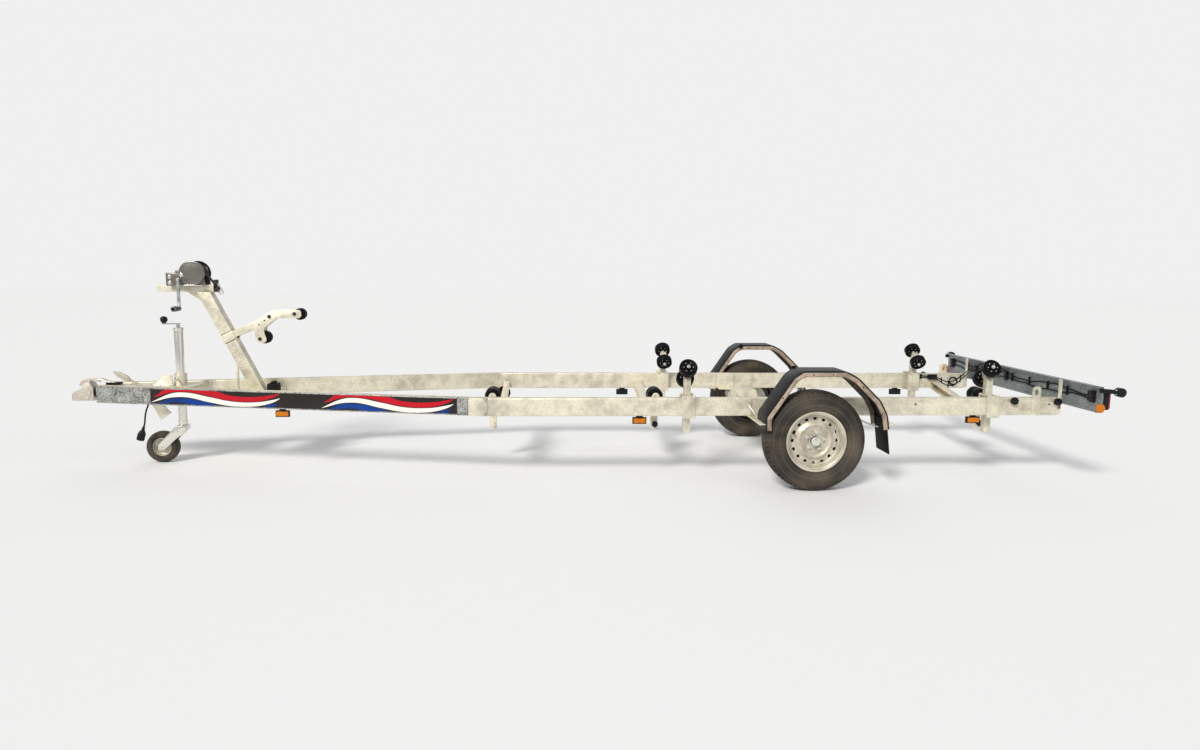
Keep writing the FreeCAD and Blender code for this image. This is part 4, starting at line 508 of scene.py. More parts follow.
def eased(nodes, finish, width, segments=2, bends=0):
    """Copies of CAD solids whose sharp edges catch the light, each standing for its solid."""
    for node in nodes.split():
        bm = bmesh.new()
        bm.from_mesh(frame["nodes"][node].data)
        bmesh.ops.remove_doubles(bm, verts=bm.verts, dist=0.00002)
        bmesh.ops.dissolve_limit(bm, angle_limit=math.radians(0.4), use_dissolve_boundaries=False,
                                 verts=bm.verts, edges=bm.edges, delimit={"NORMAL"})
        if bends:
            round_bends(bm, bends)
        eased_edges(bm, bm.verts, width, segments, 46 if bends else 32)
        made = piece(f"{node}_eased", bm, finish, BODY_OF[node], (node,), 38)
    return made


print("shop operations ready")

# %% [markdown]
# ## The lead of the trailer plug
# A short black lead drops out of the overrun housing and ends in the plug for the towing car. It is a
# real cord of about twenty centimetres, so it comes before other pieces and follows the same points as
# in the CAD. A curve with a round bevel gives the tube. The plug is turned on the line of the lead's end.

# %% Plug and lead
LEAD_DIAMETER = 0.011
LEAD_ROUTE = [
    (-2.943, -0.03, 0.455), (-2.943, -0.03, 0.438), (-2.944, -0.034, 0.421), (-2.946, -0.042, 0.405),
    (-2.948, -0.055, 0.391), (-2.947, -0.073, 0.37), (-2.944, -0.092, 0.345), (-2.94, -0.107, 0.319),
    (-2.94, -0.114, 0.297), (-2.946, -0.116, 0.276)]


def smooth_bar(name, points, radius, order=3, roundness=3):
    """A curve object along a NURBS line; the order is set after the points, or it would stay at 2."""
    data = bpy.data.curves.new(name, "CURVE")
    data.dimensions = "3D"
    data.bevel_depth = radius
    data.bevel_resolution = roundness
    data.resolution_u = 8
    data.use_fill_caps = True
    spline = data.splines.new("NURBS")
    spline.points.add(len(points) - 1)
    for point, place in zip(spline.points, points):
        point.co = (*place, 1)
    spline.order_u = order
    spline.use_endpoint_u = True
    return bpy.data.objects.new(name, data)


lead = smooth_bar("trailer_lead", LEAD_ROUTE, LEAD_DIAMETER / 2, roundness=4)
bpy.context.scene.collection.objects.link(lead)
lead.data.materials.append(black_rubber.material)
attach(lead, "frame")
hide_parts("plug_lead")
plug_end = Vector(LEAD_ROUTE[-1])
plug_axis = (plug_end - Vector(LEAD_ROUTE[-2])).normalized()
bm = bmesh.new()
turned(bm, [(0, 0), (8.5, 0), (9.5, 10), (11.5, 24), (20, 36), (21.5, 40), (21.5, 46), (24.5, 48), (26, 52),
            (26, 60), (24.5, 62), (24.5, 94), (22.5, 98), (20, 98), (20, 88), (0, 88)], plug_end, plug_axis, 40)
sideways = plug_axis.orthogonal().normalized()
for place in ring_of(plug_end + plug_axis * 0.063, 0.0238, 12, sideways, plug_axis.cross(sideways)):
    rod(bm, place, place + plug_axis * 0.029, 0.0022, 6)
plug = piece("trailer_plug", bm, black_plastic, stands_for=("plug",))
bm = bmesh.new()
turned(bm, [(5.6, 0), (9.8, 0), (9, 6), (7.4, 18), (6.2, 26), (5.6, 26)], LEAD_ROUTE[0], -Z, 24)
sleeve = piece("lead_sleeve", bm, black_rubber)
print("lead with", len(LEAD_ROUTE), "points")

# %% [markdown]
# ## The steel frame
# Rails, drawbar legs, cross-members, posts and brackets are sawn and folded steel. The solids already
# have their form; what they lack is the small round that a real edge has, where light gathers. A copy
# of each is merged, its coplanar triangles are dissolved and its sharp edges are bevelled. All other
# solids get the same. The mudflaps also get a lean and a little length, from the line that holds them.

# %% Rails, legs and cross-members
eased("rail_left rail_right cross_front cross_middle cross_rear lashing_eyes splice_plates board_tubes "
      "side_clamps mudguard_stays", steel, 0.0012)
eased("axle keel_posts side_posts_front side_posts_rear winch_foot winch_post drawbar_plate overrun_housing",
      steel, 0.0015)
eased("drawbar_left drawbar_right", rough_steel, 0.001)

# %% All other solids
eased("jockey_tube jockey_leg jockey_fork", zinc_plate, 0.0012)
eased("coupling_head handbrake_lever", cast_zinc, 0.0015)
eased("jockey_crank winch_crank", crank_steel, 0.0012)
eased("coupling_handle", zinc_plate, 0.002)
eased("winch_frame", grey_cast, 0.0015)
eased("winch_drum", dark_cast, 0.001)
for side in SIDES:
    eased(f"hub_{side}", dark_cast, 0.001)
    eased(f"rim_{side}", wheel_paint, 0.0012, 3)
    eased(f"mudguard_{side}", mudguard_paint, 0.0012, bends=0.022)
eased("jockey_rim", wheel_paint, 0.001)
eased("jockey_tyre", tyre_rubber, 0.001)
eased("light_board", sheet_steel, 0.0008)
eased("lamps side_markers", black_plastic, 0.003)
eased("lenses_red", red_lens, 0.002)
eased("lenses_amber", amber_lens, 0.002)
eased("bellows", black_rubber, 0.003)
flaps = eased("mudflaps", black_rubber, 0.001)
FLAP_HEM, FLAP_LEAN, FLAP_LENGTHENED = 0.44, 0.136, 1.08
flaps.data.transform(Matrix((
    (1, 0, -FLAP_LEAN, FLAP_LEAN * FLAP_HEM), (0, 1, 0, 0),
    (0, 0, FLAP_LENGTHENED, FLAP_HEM * (1 - FLAP_LENGTHENED)), (0, 0, 0, 1))))
eased("winch_strap", webbing, 0.0008)
eased("keel_roller_front keel_roller_middle keel_roller_rear", roller_rubber, 0.003)
eased("bow_roller_upper bow_roller_lower", roller_rubber, 0.002)

# %% [markdown]
# ## Road tyres
# A trailer tyre has round shoulders, fine rings on its sidewall and a tread of ribs that cross cuts
# divide into blocks. The tyre could be a torus with a bump map, but its outline would stay smooth. Here
# a half section with the rings and the grooves in it is spun, and every sixth face of the ribs is then
# sunk to make the cross cuts, on the inner ribs half a block further round.

# %% Tyres
TYRE_HALF = [
    (178.5, 54), (178.5, 69), (187, 69.6), (196.2, 69.9), (198.5, 74.5), (204.5, 81.2), (206.2, 80.6),
    (213, 85.8), (224, 89.8), (225, 89), (226.2, 90.2), (240, 92.3), (255, 92.5), (270, 91.1), (271, 90.1),
    (272.2, 90.7), (285, 87.5), (294.5, 83.2), (296, 81), (305, 77.2), (311.5, 73), (316.5, 67.5),
    (319.8, 60.5), (322, 50), (322.5, 47.2), (316, 46.4), (316, 40.2), (323.2, 39.4), (324, 30), (324.5, 19.6),
    (317.5, 18.8), (317.5, 12.4), (324.8, 11.6), (325, 0)]
TYRE_STEPS, CUT_EVERY, CUT_DEPTH = 360, 6, 0.005
WHEEL_MIDDLE = 0.882


def road_tyre(name, side):
    """A tyre spun round the axle, with cross cuts sunk into its ribs."""
    centre = AXLE + Y * WHEEL_MIDDLE * side
    bm = bmesh.new()
    whole = TYRE_HALF + [(radius, -along) for radius, along in reversed(TYRE_HALF[:-1])]
    turned(bm, whole, centre, Y, TYRE_STEPS)
    bmesh.ops.remove_doubles(bm, verts=bm.verts, dist=0.000002)
    bmesh.ops.recalc_face_normals(bm, faces=bm.faces)
    cuts = []
    for face in bm.faces:
        place = face.calc_center_median() - centre
        radius, out = math.hypot(place.x, place.z), abs(place.y)
        step = int((math.atan2(place.z, place.x) / math.tau % 1) * TYRE_STEPS)
        shoulder = radius > 0.3035 and 0.048 < out < 0.0775
        inner_rib = radius > 0.3225 and 0.02 < out < 0.039
        if (shoulder and step % CUT_EVERY == 0) or (inner_rib and step % CUT_EVERY == 3):
            cuts.append(face)
    bmesh.ops.inset_region(bm, faces=cuts, thickness=0.0005, depth=-CUT_DEPTH, use_even_offset=True)
    return piece(f"road_tyre_{name}", bm, tyre_rubber, f"wheel_{name}", (f"tyre_{name}",), 30)


for name, side in SIDES.items():
    made = road_tyre(name, side)
    print(made.name, len(made.data.polygons), "faces")

# %% [markdown]
# ## Wheel bolts, valve and hub cap
# Five bolts with cone seats hold each rim, and a rubber valve stands in the ring of vents. They turn with
# the wheel, so they ride on its body. The brake's shield behind the rim stays on the frame; it is a dark
# backplate made wider than a real one, so that it paints the shade seen through the vents.

# %% Wheel fittings
BOLT_RING, RIM_FACE, CAP_FACE, SHIELD_FACE = 0.056, 0.918, 0.9215, 0.816
VALVE_RING, VALVE_TURN, VALVE_FACE = 0.145, 0.35, 0.908
for name, side in SIDES.items():
    wheel, outward = f"wheel_{name}", Y * side
    bm = bmesh.new()
    for place in ring_of(AXLE + outward * RIM_FACE, BOLT_RING, 5, start=0.15):
        rod(bm, place, place + outward * 0.006, 0.0125, 20, 0.0105)
        head = rod(bm, place + outward * 0.006, place + outward * 0.017, 0.0098, 6)
        eased_edges(bm, head, 0.0012)
    piece(f"wheel_bolts_{name}", bm, zinc_plate, wheel)
    bm = bmesh.new()
    turned(bm, [(0, 0), (36, 0), (36.5, 1), (35.5, 3.5), (31.2, 4), (30, 8), (30, 26), (28, 31), (21, 34),
                (12, 35.5), (0, 36)], AXLE + outward * CAP_FACE, outward)
    piece(f"hub_cap_{name}", bm, zinc_plate, wheel)
    bm = bmesh.new()
    valve = Vector((-math.cos(VALVE_TURN), 0, math.sin(VALVE_TURN))) * VALVE_RING + outward * VALVE_FACE
    turned(bm, [(0, 0), (8, 0), (7.5, 6), (4.5, 12), (4, 30), (4.8, 31), (4.8, 40), (0, 41)],
           AXLE + valve, outward - X * 0.15, 20)
    piece(f"tyre_valve_{name}", bm, black_rubber, wheel)
    # painted shade: a dark shield, wider than a real backplate, that stands for the shade behind the vents
    bm = bmesh.new()
    turned(bm, [(119.5, 0), (159, 0), (161, 2), (161, 9), (159, 9), (158, 3), (119.5, 3)],
           AXLE + outward * SHIELD_FACE, outward, 72)
    piece(f"brake_shade_shield_{name}", bm, dark_cast)
print("wheel fittings on both sides")

# %% [markdown]
# ## Stripes on the drawbar
# A dark film lies on the flat of each drawbar leg, with ribbons of red, white and blue that swing up
# and down along it twice. Painting them by shader would need the leg's own slanted axes. Thin ribbons
# are simpler: a long grid is pulled to a top and a bottom line, both given in hundredths of the
# film's length and height, then thickened.

# %% Stripes
FILM_START, FILM_END = -2.853, -0.716
FILM_LOW, FILM_HIGH = 0.4545, 0.5555
RIBBONS = {
    "red": ([(2, 50), (6, 71), (9, 93), (13, 100), (45, 100), (52, 93), (58, 76), (65, 68), (72, 65.5),
             (80, 69), (87, 76), (93, 87), (98.5, 98)],
            [(2, 48), (6, 53), (9, 66), (13, 76), (20, 87), (27, 87), (37, 79), (44, 65), (50, 54), (56, 44),
             (63, 37), (72, 34), (79, 36), (84, 43), (90, 58), (95, 77), (98.5, 95.5)]),
    "white": ([(0, 11), (5.7, 37), (12.6, 65), (19.5, 81), (26.4, 83), (33.3, 77), (40.2, 65), (49.5, 50),
               (55, 40), (62, 32), (69, 28.5), (75.7, 29.5), (82.6, 34.5), (89.5, 45.5), (94.7, 56), (98, 64)],
              [(0, 9), (5.7, 24), (12.6, 42), (19.5, 51), (26.4, 52), (33.3, 44), (40.2, 30), (49.5, 15),
               (55, 7), (62, 1), (69, 0), (75.7, 2), (82.6, 9), (89.5, 24), (94.7, 42), (98, 61.5)]),
    "blue": ([(5, 4), (9, 21), (14, 38), (20, 44), (28, 44), (36, 33), (44, 18), (50, 4)],
             [(5, 0), (9, 3), (14, 9), (20, 12), (26, 11), (32, 0), (44, 0), (50, 0)]),
    "blue_tail": ([(86, 4), (89, 18), (93, 25), (96.5, 27)],
                  [(86, 0), (89, 0), (93, 5), (96.5, 25)]),
}
FILMS = {"red": film_red, "white": film_white, "blue": film_blue, "blue_tail": film_blue}


def height_at(line, share):
    """Height of a line at a share of its run, along a smooth curve through the line's points."""
    last = len(line) - 1
    index = max([step for step in range(last) if line[step][0] <= share], default=0)
    (left, low), (right, high) = line[index], line[index + 1]
    before, after = line[max(index - 1, 0)], line[min(index + 2, last)]
    part = min((share - left) / (right - left), 1)
    leaving = (high - before[1]) / (right - before[0]) * (right - left)
    arriving = (after[1] - low) / (after[0] - left) * (right - left)
    swing = leaving * (1 - part) - arriving * part + (high - low) * (2 * part - 1)
    return low + (high - low) * part + part * (1 - part) * swing


def leg_point(x, z, side, proud):
    """A point on the outer face of a drawbar leg, held off it by a small distance."""
    share = (x - LEG_TOE.x) / (LEG_BEND.x - LEG_TOE.x)
    y = LEG_TOE.y + (LEG_BEND.y - LEG_TOE.y) * share + LEG_HALF + proud
    return Vector((x, y * side, z))


def ribbon(bm, top, bottom, x0, x1, side, base, thick, columns=96):
    """A strip between two lines over a stretch of the leg, as a closed thin film."""
    grid = bmesh.ops.create_grid(bm, x_segments=columns, y_segments=1, size=0.5)["verts"]
    top, bottom = ([(share / 100, height / 100) for share, height in line] for line in (top, bottom))
    span = FILM_HIGH - FILM_LOW
    first, last = top[0][0], top[-1][0]
    for vert in grid:
        share = first + (last - first) * (vert.co.x + 0.5)
        line = top if vert.co.y > 0 else bottom
        vert.co = leg_point(x0 + (x1 - x0) * share, FILM_LOW + span * height_at(line, share), side, base)
    faces = list({face for vert in grid for face in vert.link_faces})
    pulled(bm, faces, (0, thick * side, 0))


STRETCHES = ((-2.845, -1.905), (-1.63, -0.722))
WHOLE_FILM = ([(0, 100), (100, 100)], [(0, 0), (100, 0)])
for name, side in SIDES.items():
    bm = bmesh.new()
    ribbon(bm, *WHOLE_FILM, FILM_START, FILM_END, side, 0.0001, 0.0005, 24)
    piece(f"drawbar_film_{name}", bm, film_black)
    for colour, lines in RIBBONS.items():
        bm = bmesh.new()
        for x0, x1 in STRETCHES:
            ribbon(bm, *lines, x0, x1, side, 0.0007, 0.0004)
        piece(f"stripe_{colour}_{name}", bm, FILMS[colour])
print("stripes:", len(RIBBONS), "ribbons on each side")

# %% [markdown]
# ## Side rollers
# Each station carries two rubber wheels on one slanted shaft. The real ones have a wide flat tread with
# round corners, a sunk face with a raised hub and small bright rivets round it. One half section is spun
# for a wheel, and the rivets are short pins that stand a hair proud of the sunk face.

# %% Side rollers
ROLLER_SECTION = [
    (12.5, -26), (23, -26), (24, -23.5), (24.5, -18), (40, -18), (42.5, -21.5), (50, -24), (56, -23.5),
    (59.5, -20), (60.5, -15), (60, -6), (59, 0), (60, 6), (60.5, 15), (59.5, 20), (56, 23.5), (50, 24),
    (42.5, 21.5), (40, 18), (24.5, 18), (24, 23.5), (23, 26), (12.5, 26)]
STATION_X = {"front": 0.802, "rear": 2.872}
STATIONS = {f"{end}_{name}": Vector((x, 0.574 * side, 0.714)) for end, x in STATION_X.items()
            for name, side in SIDES.items()}
TILT = math.radians(35)
ROLLER_OUT, NUT_OUT, PIN_FACE, PIN_RING = 0.073, 0.1005, 0.0178, 0.032
for station, centre in STATIONS.items():
    side = math.copysign(1, centre.y)
    along = Vector((0, math.cos(TILT), math.sin(TILT) * side))
    up = Vector((0, -math.sin(TILT) * side, math.cos(TILT)))
    rollers, pins, nuts = bmesh.new(), bmesh.new(), bmesh.new()
    for sign in (-1, 1):
        turned(rollers, ROLLER_SECTION, centre + along * ROLLER_OUT * sign, along, 64)
        bolt(nuts, centre + along * NUT_OUT * sign, along * sign, 0.009)
        for face in (-1, 1):
            for place in ring_of(centre + along * (ROLLER_OUT * sign + PIN_FACE * face), PIN_RING, 6, X, up):
                rod(pins, place, place + along * face * 0.0006, 0.0035, 12)
    node = f"side_rollers_{station}"
    piece(f"roller_pair_{station}", rollers, roller_rubber, node, (node,))
    piece(f"roller_pins_{station}", pins, zinc_plate, node)
    piece(f"shaft_nuts_{station}", nuts, zinc_plate)
print("side stations:", list(STATIONS))

# %% [markdown]
# ## Caps, clamps and nuts along the frame
# Keel rollers end in grey caps with a dark centre. Posts are held by star knobs, and plates by bolts at
# their corners. All of one kind are one piece, which keeps the list of pieces short.

# %% Keel station caps
KEEL_X, KEEL_AXIS, KEEL_SCREW = (-0.52, 0.66, 3.115), 0.484, 0.275
bm = bmesh.new()
for x in KEEL_X:
    for sign in (-1, 1):
        turned(bm, [(9, 0), (26.5, 0), (27.5, 2), (27.5, 6), (25.5, 9), (13, 10), (12, 8.5), (9, 8)],
               (x, 0.0861 * sign, KEEL_AXIS), Y * sign, 40)
piece("keel_caps", bm, steel)
print("keel caps:", len(KEEL_X) * 2)

# %% Keel guide disc and knobs
GUIDE_X = -0.448
bm = bmesh.new()
turned(bm, [(8, -20), (44, -20), (49, -15), (50, 0), (49, 15), (44, 20), (8, 20)],
       (GUIDE_X, 0.112, KEEL_AXIS), Y)
piece("keel_guide_disc", bm, roller_rubber)
screws, knobs = bmesh.new(), bmesh.new()
rod(screws, (GUIDE_X, 0.08, KEEL_AXIS), (GUIDE_X, 0.142, KEEL_AXIS), 0.0079, 20)
for x in KEEL_X[1:]:
    rod(screws, (x, -0.053, KEEL_SCREW), (x, -0.024, KEEL_SCREW), 0.0055)
    star_knob(knobs, (x, -0.0495, KEEL_SCREW), -Y, 0.026, 0.022)
star_knob(knobs, (-0.428, -0.1192, 0.392), -Y, 0.021, 0.02)
piece("keel_screws", screws, zinc_plate)
piece("keel_knobs", knobs, knob_plastic)
print("keel guide disc and", len(KEEL_X), "knobs")

# %% Clamp bolts, rail knobs and seams
RAIL_INSIDE, RAIL_OUTSIDE = 0.624, 0.684
bm = bmesh.new()
for x in STATION_X.values():
    for side in SIDES.values():
        for bolt_x in (x - 0.033, x + 0.033):
            for bolt_z in (0.4372, 0.5728):
                for y, axis in ((0.692, Y), (0.571, -Y)):
                    bolt(bm, (bolt_x, y * side, bolt_z), axis * side, 0.0078)
piece("clamp_bolts", bm, zinc_plate)
bm = bmesh.new()
for x, z in ((3.009, 0.546), (3.312, 0.54)):
    for side in SIDES.values():
        place = Vector((x, RAIL_OUTSIDE * side, z))
        rod(bm, place, place + Y * 0.01 * side, 0.013, 20)
        turned(bm, [(0, 9), (22, 9), (25.5, 13), (26, 27), (23, 33), (14, 35), (0, 35)], place, Y * side, 32)
piece("board_knobs", bm, knob_plastic)
bm = bmesh.new()
for x, face in ((1.222, -RAIL_OUTSIDE), (1.244, RAIL_INSIDE), (1.393, RAIL_INSIDE), (1.541, RAIL_INSIDE)):
    block(bm, (x - 0.0012, face - 0.0006, 0.453), (x + 0.0012, face + 0.0002, 0.557))
piece("rail_seams", bm, grey_cast)
print("bolts, knobs and seams on the rails")

# %% [markdown]
# ## Winch
# A hand winch has a round drum cover on each side, a small gear box ahead of it and a strap wound on the
# drum. The covers are turned with a shallow dome. The strap on the drum is a turned shape too, with the
# turns of webbing as fine steps in its section, and it rides on the drum so that it turns with it.

# %% Winch covers and gear box
WINCH, COVER_FACE = Vector((-2.59, 0, 1.346)), 0.0515
CRANK_X, CRANK_Z, GRIP_Z = -2.67, 1.304, 1.104
COVER_SECTION = [
    (0, 0), (86, 0), (86.8, 3), (86, 13), (83.5, 16.5), (79, 18), (74, 16.5), (68, 18), (40, 20.5), (20, 21.5),
    (0, 22)]
bm = bmesh.new()
turned(bm, COVER_SECTION, WINCH - Y * COVER_FACE, -Y, 72)
block(bm, (-2.764, -0.07, 1.2585), (-2.64, -0.0512, 1.3495), 0.006)
block(bm, (-2.7, -0.069, 1.32), (-2.61, -0.0512, 1.366), 0.006)
piece("winch_cover_near", bm, grey_cast)
bm = bmesh.new()
turned(bm, COVER_SECTION, WINCH + Y * COVER_FACE, Y, 72)
block(bm, (-2.764, 0.0512, 1.2585), (-2.64, 0.064, 1.3495), 0.006)
piece("winch_cover_far", bm, black_plastic)
bm = bmesh.new()
for x, z in ((-2.736, 1.32), (-2.736, 1.28), (-2.655, 1.334)):
    turned(bm, [(0, 0), (12.5, 0), (12.5, 3), (10, 4.5), (0, 4.5)], (x, -0.0698, z), -Y, 24)
    bolt(bm, (x, -0.074, z), -Y, 0.0066, washer=False)
rod(bm, (CRANK_X, -0.069, CRANK_Z), (CRANK_X, -0.095, CRANK_Z), 0.0105, 20)
bolt(bm, (CRANK_X, -0.102, CRANK_Z), -Y, 0.0085)
block(bm, (-2.69, -0.076, 1.26), (-2.52, -0.0515, 1.266), 0.001)
piece("winch_bolts", bm, zinc_plate)
bm = bmesh.new()
turned(bm, [(0, 0), (14, 0), (17.2, 4), (18, 14), (17.2, 30), (18.6, 60), (19.5, 82), (18.2, 94), (12, 97.5),
            (0, 98)], (CRANK_X, -0.1015, GRIP_Z), -Y, 32)
piece("winch_grip", bm, knob_plastic)
print("winch covers, gear box and grip")

# %% Drum with its wound strap
bm = bmesh.new()
turned(bm, [(9.2, -41), (69, -41), (70, -39), (69, -36.5), (30, -36.5), (30, 36.5), (69, 36.5), (70, 39),
            (69, 41), (9.2, 41)], WINCH, Y, 64)
piece("drum_core", bm, dark_cast, "winch_drum", ("winch_drum",))
bm = bmesh.new()
layers = [(31, 25.5)] + [(34 + 4 * layer, 25 + 0.8 * (layer % 2)) for layer in range(9)] + [(66, 24.5)]
coil = [(radius, -along) for radius, along in layers] + [(66.4, 0)] + layers[::-1]
turned(bm, coil, WINCH, Y, 64)
piece("strap_on_drum", bm, webbing, "winch_drum")
print("drum with nine turns of strap")

# %% [markdown]
# ## Bars that bend
# Hooks, stays and clipped wires are round bars that bend on their way. Chains of straight rods would show
# their joints. A NURBS curve with a round bevel gives a smooth bar through a few points, and once it is
# made into a mesh it is a piece like any other.

# %% Bent bars
def bent_bar(name, points, radius, finish, order=3):
    """A bar on the frame along a NURBS line, as a mesh."""
    line = smooth_bar(f"{name}_line", points, radius, order)
    bm = bmesh.new()
    bm.from_mesh(bpy.data.meshes.new_from_object(line))
    bpy.data.objects.remove(line)
    piece(name, bm, finish, smooth=60)


HOOK = [(-2.449, 1.292), (-2.44, 1.28), (-2.424, 1.252), (-2.404, 1.222), (-2.404, 1.203), (-2.418, 1.202),
        (-2.432, 1.214), (-2.436, 1.232)]
STAYS = {
    "front": [(1.196, 0.69, 0.524), (1.215, 0.7, 0.5), (1.24, 0.745, 0.452), (1.252, 0.79, 0.434),
              (1.256, 0.86, 0.43)],
    "rear": [(1.925, 0.7, 0.438), (1.96, 0.73, 0.416), (1.995, 0.79, 0.404), (2.018, 0.86, 0.402)]}
bent_bar("strap_hook", [(x, 0, z) for x, z in HOOK], 0.0055, zinc_plate)
bm = bmesh.new()
block(bm, (-2.46, -0.022, 1.269), (-2.437, 0.022, 1.303), 0.006)
piece("strap_loop", bm, webbing)
for name, side in SIDES.items():
    for end, points in STAYS.items():
        bent_bar(f"guard_stay_{end}_{name}", [(x, y * side, z) for x, y, z in points], 0.006, zinc_plate)
print("hook and mudguard stays")

# %% [markdown]
# ## Small parts round the drawbar's nose
# The coupling's handle ends in a black grip that also stands for the handle's shadow, the quadrant has teeth
# for the handbrake, and the jockey wheel has a screw clamp, a mushroom knob and a cap on its tube. Each is a
# handful of shop operations.

# %% Coupling, quadrant and clamp
JOCKEY_X = -2.725
bm = bmesh.new()
for side in SIDES.values():
    for x, z, size in ((-3.335, 0.505, 0.0085), (-3.352, 0.47, 0.0075)):
        bolt(bm, (x, 0.042 * side, z), Y * side, size)
for index in range(6):
    bolt(bm, (-2.895 + index * 0.012, -0.066, 0.566 + index * 0.0105), -Y, 0.004, washer=False)
bolt(bm, (-2.942, -0.06, 0.534), -Y, 0.0095)
for x in (-2.845, -2.775):
    bolt(bm, (x, -0.066, 0.56), -Y, 0.0065)
piece("drawbar_bolts", bm, zinc_plate)
HANDLE_SIDE = [
    (-3.414, 0.556), (-3.396, 0.59), (-3.368, 0.604), (-3.33, 0.608), (-3.29, 0.601), (-3.262, 0.59),
    (-3.264, 0.578), (-3.292, 0.586), (-3.33, 0.592), (-3.362, 0.588), (-3.384, 0.576), (-3.398, 0.55)]
bm = bmesh.new()
for sign in (-1, 1):
    plate(bm, HANDLE_SIDE, 0.0226 * sign, 0.0256 * sign, 0.001)
piece("handle_sides", bm, cast_zinc)
# painted shadow: a black block at the handle's rear end, shaped as a grip, where the handle's shadow lies
bm = bmesh.new()
block(bm, (-3.232, -0.0245, 0.56), (-3.134, 0.0245, 0.578), 0.005)
piece("handle_grip_shadow", bm, knob_plastic)
bm = bmesh.new()
rod(bm, (JOCKEY_X, -0.0415, 0.6), (JOCKEY_X, -0.088, 0.6), 0.007)
rod(bm, (JOCKEY_X - 0.027, -0.086, 0.579), (JOCKEY_X + 0.027, -0.086, 0.621), 0.0055)
turned(bm, [(30.2, 0), (34.5, 0), (35.5, 3), (35.5, 10), (34.5, 13), (30.2, 13)], (JOCKEY_X, 0, 0.942), Z, 40)
turned(bm, [(30.2, 0), (33.5, 0), (33.5, 16), (30.2, 16)], (JOCKEY_X, 0, 0.282), Z, 40)
piece("jockey_clamp_screw", bm, zinc_plate)
bm = bmesh.new()
turned(bm, [(0, 0), (12.5, 0), (14, 4), (20, 10), (23.5, 18), (24.5, 27), (23, 36), (18.5, 43), (12, 47),
            (0, 49)], (-2.82, 0, 0.9955), Z, 36)
piece("jockey_knob", bm, knob_plastic)
print("nose fittings")

# %% Jockey wheel dish and fork bolts
JOCKEY_HUB = Vector((-2.869, 0, 0.1125))
bm = bmesh.new()
for sign in (-1, 1):
    turned(bm, [(21.2, 7.2), (22.5, 10), (30, 12), (36, 11.5), (42, 8.5), (47, 10), (52, 15), (57, 16),
                (58.8, 13), (58.8, 7.2)], JOCKEY_HUB, Y * sign, 56)
    for place in ring_of(JOCKEY_HUB + Y * 0.012 * sign, 0.033, 4, start=0.5):
        bolt(bm, place, Y * sign, 0.0042)
piece("jockey_dish", bm, wheel_paint, "jockey_wheel")
bm = bmesh.new()
for sign in (-1, 1):
    bolt(bm, JOCKEY_HUB + Y * 0.046 * sign, Y * sign, 0.0095)
    bolt(bm, (-2.752, 0.046 * sign, 0.228), Y * sign, 0.006)
piece("fork_bolts", bm, zinc_plate, "jockey_fork")
print("jockey wheel dish and fork bolts")

# %% [markdown]
# ## Bow arm and winch post
# The arm that carries the bow rollers is two plates sawn to one outline, with a broad round lobe at the
# lower roller. A band with two bolts clamps it to the leaning post, whose sides have marks for other
# heights. The plates stand for the arm's solid, which is thicker below and has a narrower lower end.

# %% Bow arm
POST_LEAN = math.radians(26.4)
BAND_MIDDLE = Vector((-2.3682, 0, 0.9013))
POST_SIDE, BAND_WALL, BAND_HEIGHT = 0.08, 0.005, 0.062
up_post = Vector((-math.sin(POST_LEAN), 0, math.cos(POST_LEAN)))
off_post = Vector((math.cos(POST_LEAN), 0, math.sin(POST_LEAN)))
lean = Matrix.Rotation(-POST_LEAN, 4, "Y")
ARM_OUTLINE = [
    (-2.344, 0.944), (-2.3234, 0.901), (-2.1985, 0.9545), (-2.189, 0.946), (-2.186, 0.925),
    (-2.1825, 0.896), (-2.174, 0.876), (-2.158, 0.863), (-2.134, 0.86), (-2.115, 0.866),
    (-2.107, 0.879), (-2.108, 0.895), (-2.117, 0.92), (-2.123, 0.95), (-2.12, 0.969),
    (-2.036, 1.0365), (-1.88, 1.0365), (-1.868, 1.043), (-1.861, 1.054), (-1.861, 1.08),
    (-1.868, 1.092), (-1.88, 1.096), (-2.066, 1.089), (-2.1846, 1.0115)]
bm = bmesh.new()
for sign in (-1, 1):
    plate(bm, ARM_OUTLINE, 0.033 * sign, 0.039 * sign, 0.0009)
    wall = (POST_SIDE + BAND_WALL) / 2 * sign
    for middle, half in (
            (BAND_MIDDLE + Y * wall, (POST_SIDE / 2, BAND_WALL / 2, BAND_HEIGHT / 2)),
            (BAND_MIDDLE + off_post * wall, (BAND_WALL / 2, POST_SIDE / 2 + BAND_WALL, BAND_HEIGHT / 2))):
        block(bm, middle - Vector(half), middle + Vector(half), 0.0009, lean)
for x, z in ((-1.875, 1.0653), (-2.1234, 0.9001)):
    rod(bm, (x, -0.0388, z), (x, 0.0388, z), 0.008, 24)
piece("bow_arm_plates", bm, steel, stands_for=("bow_arm",))
bm = bmesh.new()
for sign in (-1, 1):
    for x, z in ((-1.908, 1.067), (-2.083, 1.048), (-2.152, 0.889)):
        bolt(bm, (x, 0.039 * sign, z), Y * sign, 0.0105)
    bolt(bm, BAND_MIDDLE + off_post * (POST_SIDE / 2 + BAND_WALL) + up_post * 0.024 * sign, off_post, 0.0085)
piece("bow_arm_bolts", bm, dark_cast)
# painted shade: dark discs on the plates stand for the shade within their holes
bm = bmesh.new()
for sign in (-1, 1):
    for x, z in ((-2.116, 1.02), (-2.156, 0.99)):
        rod(bm, (x, 0.039 * sign, z), (x, 0.0394 * sign, z), 0.0055, 16)
piece("bow_arm_hole_shades", bm, knob_plastic)
print("bow arm plates, band, bolts and holes")

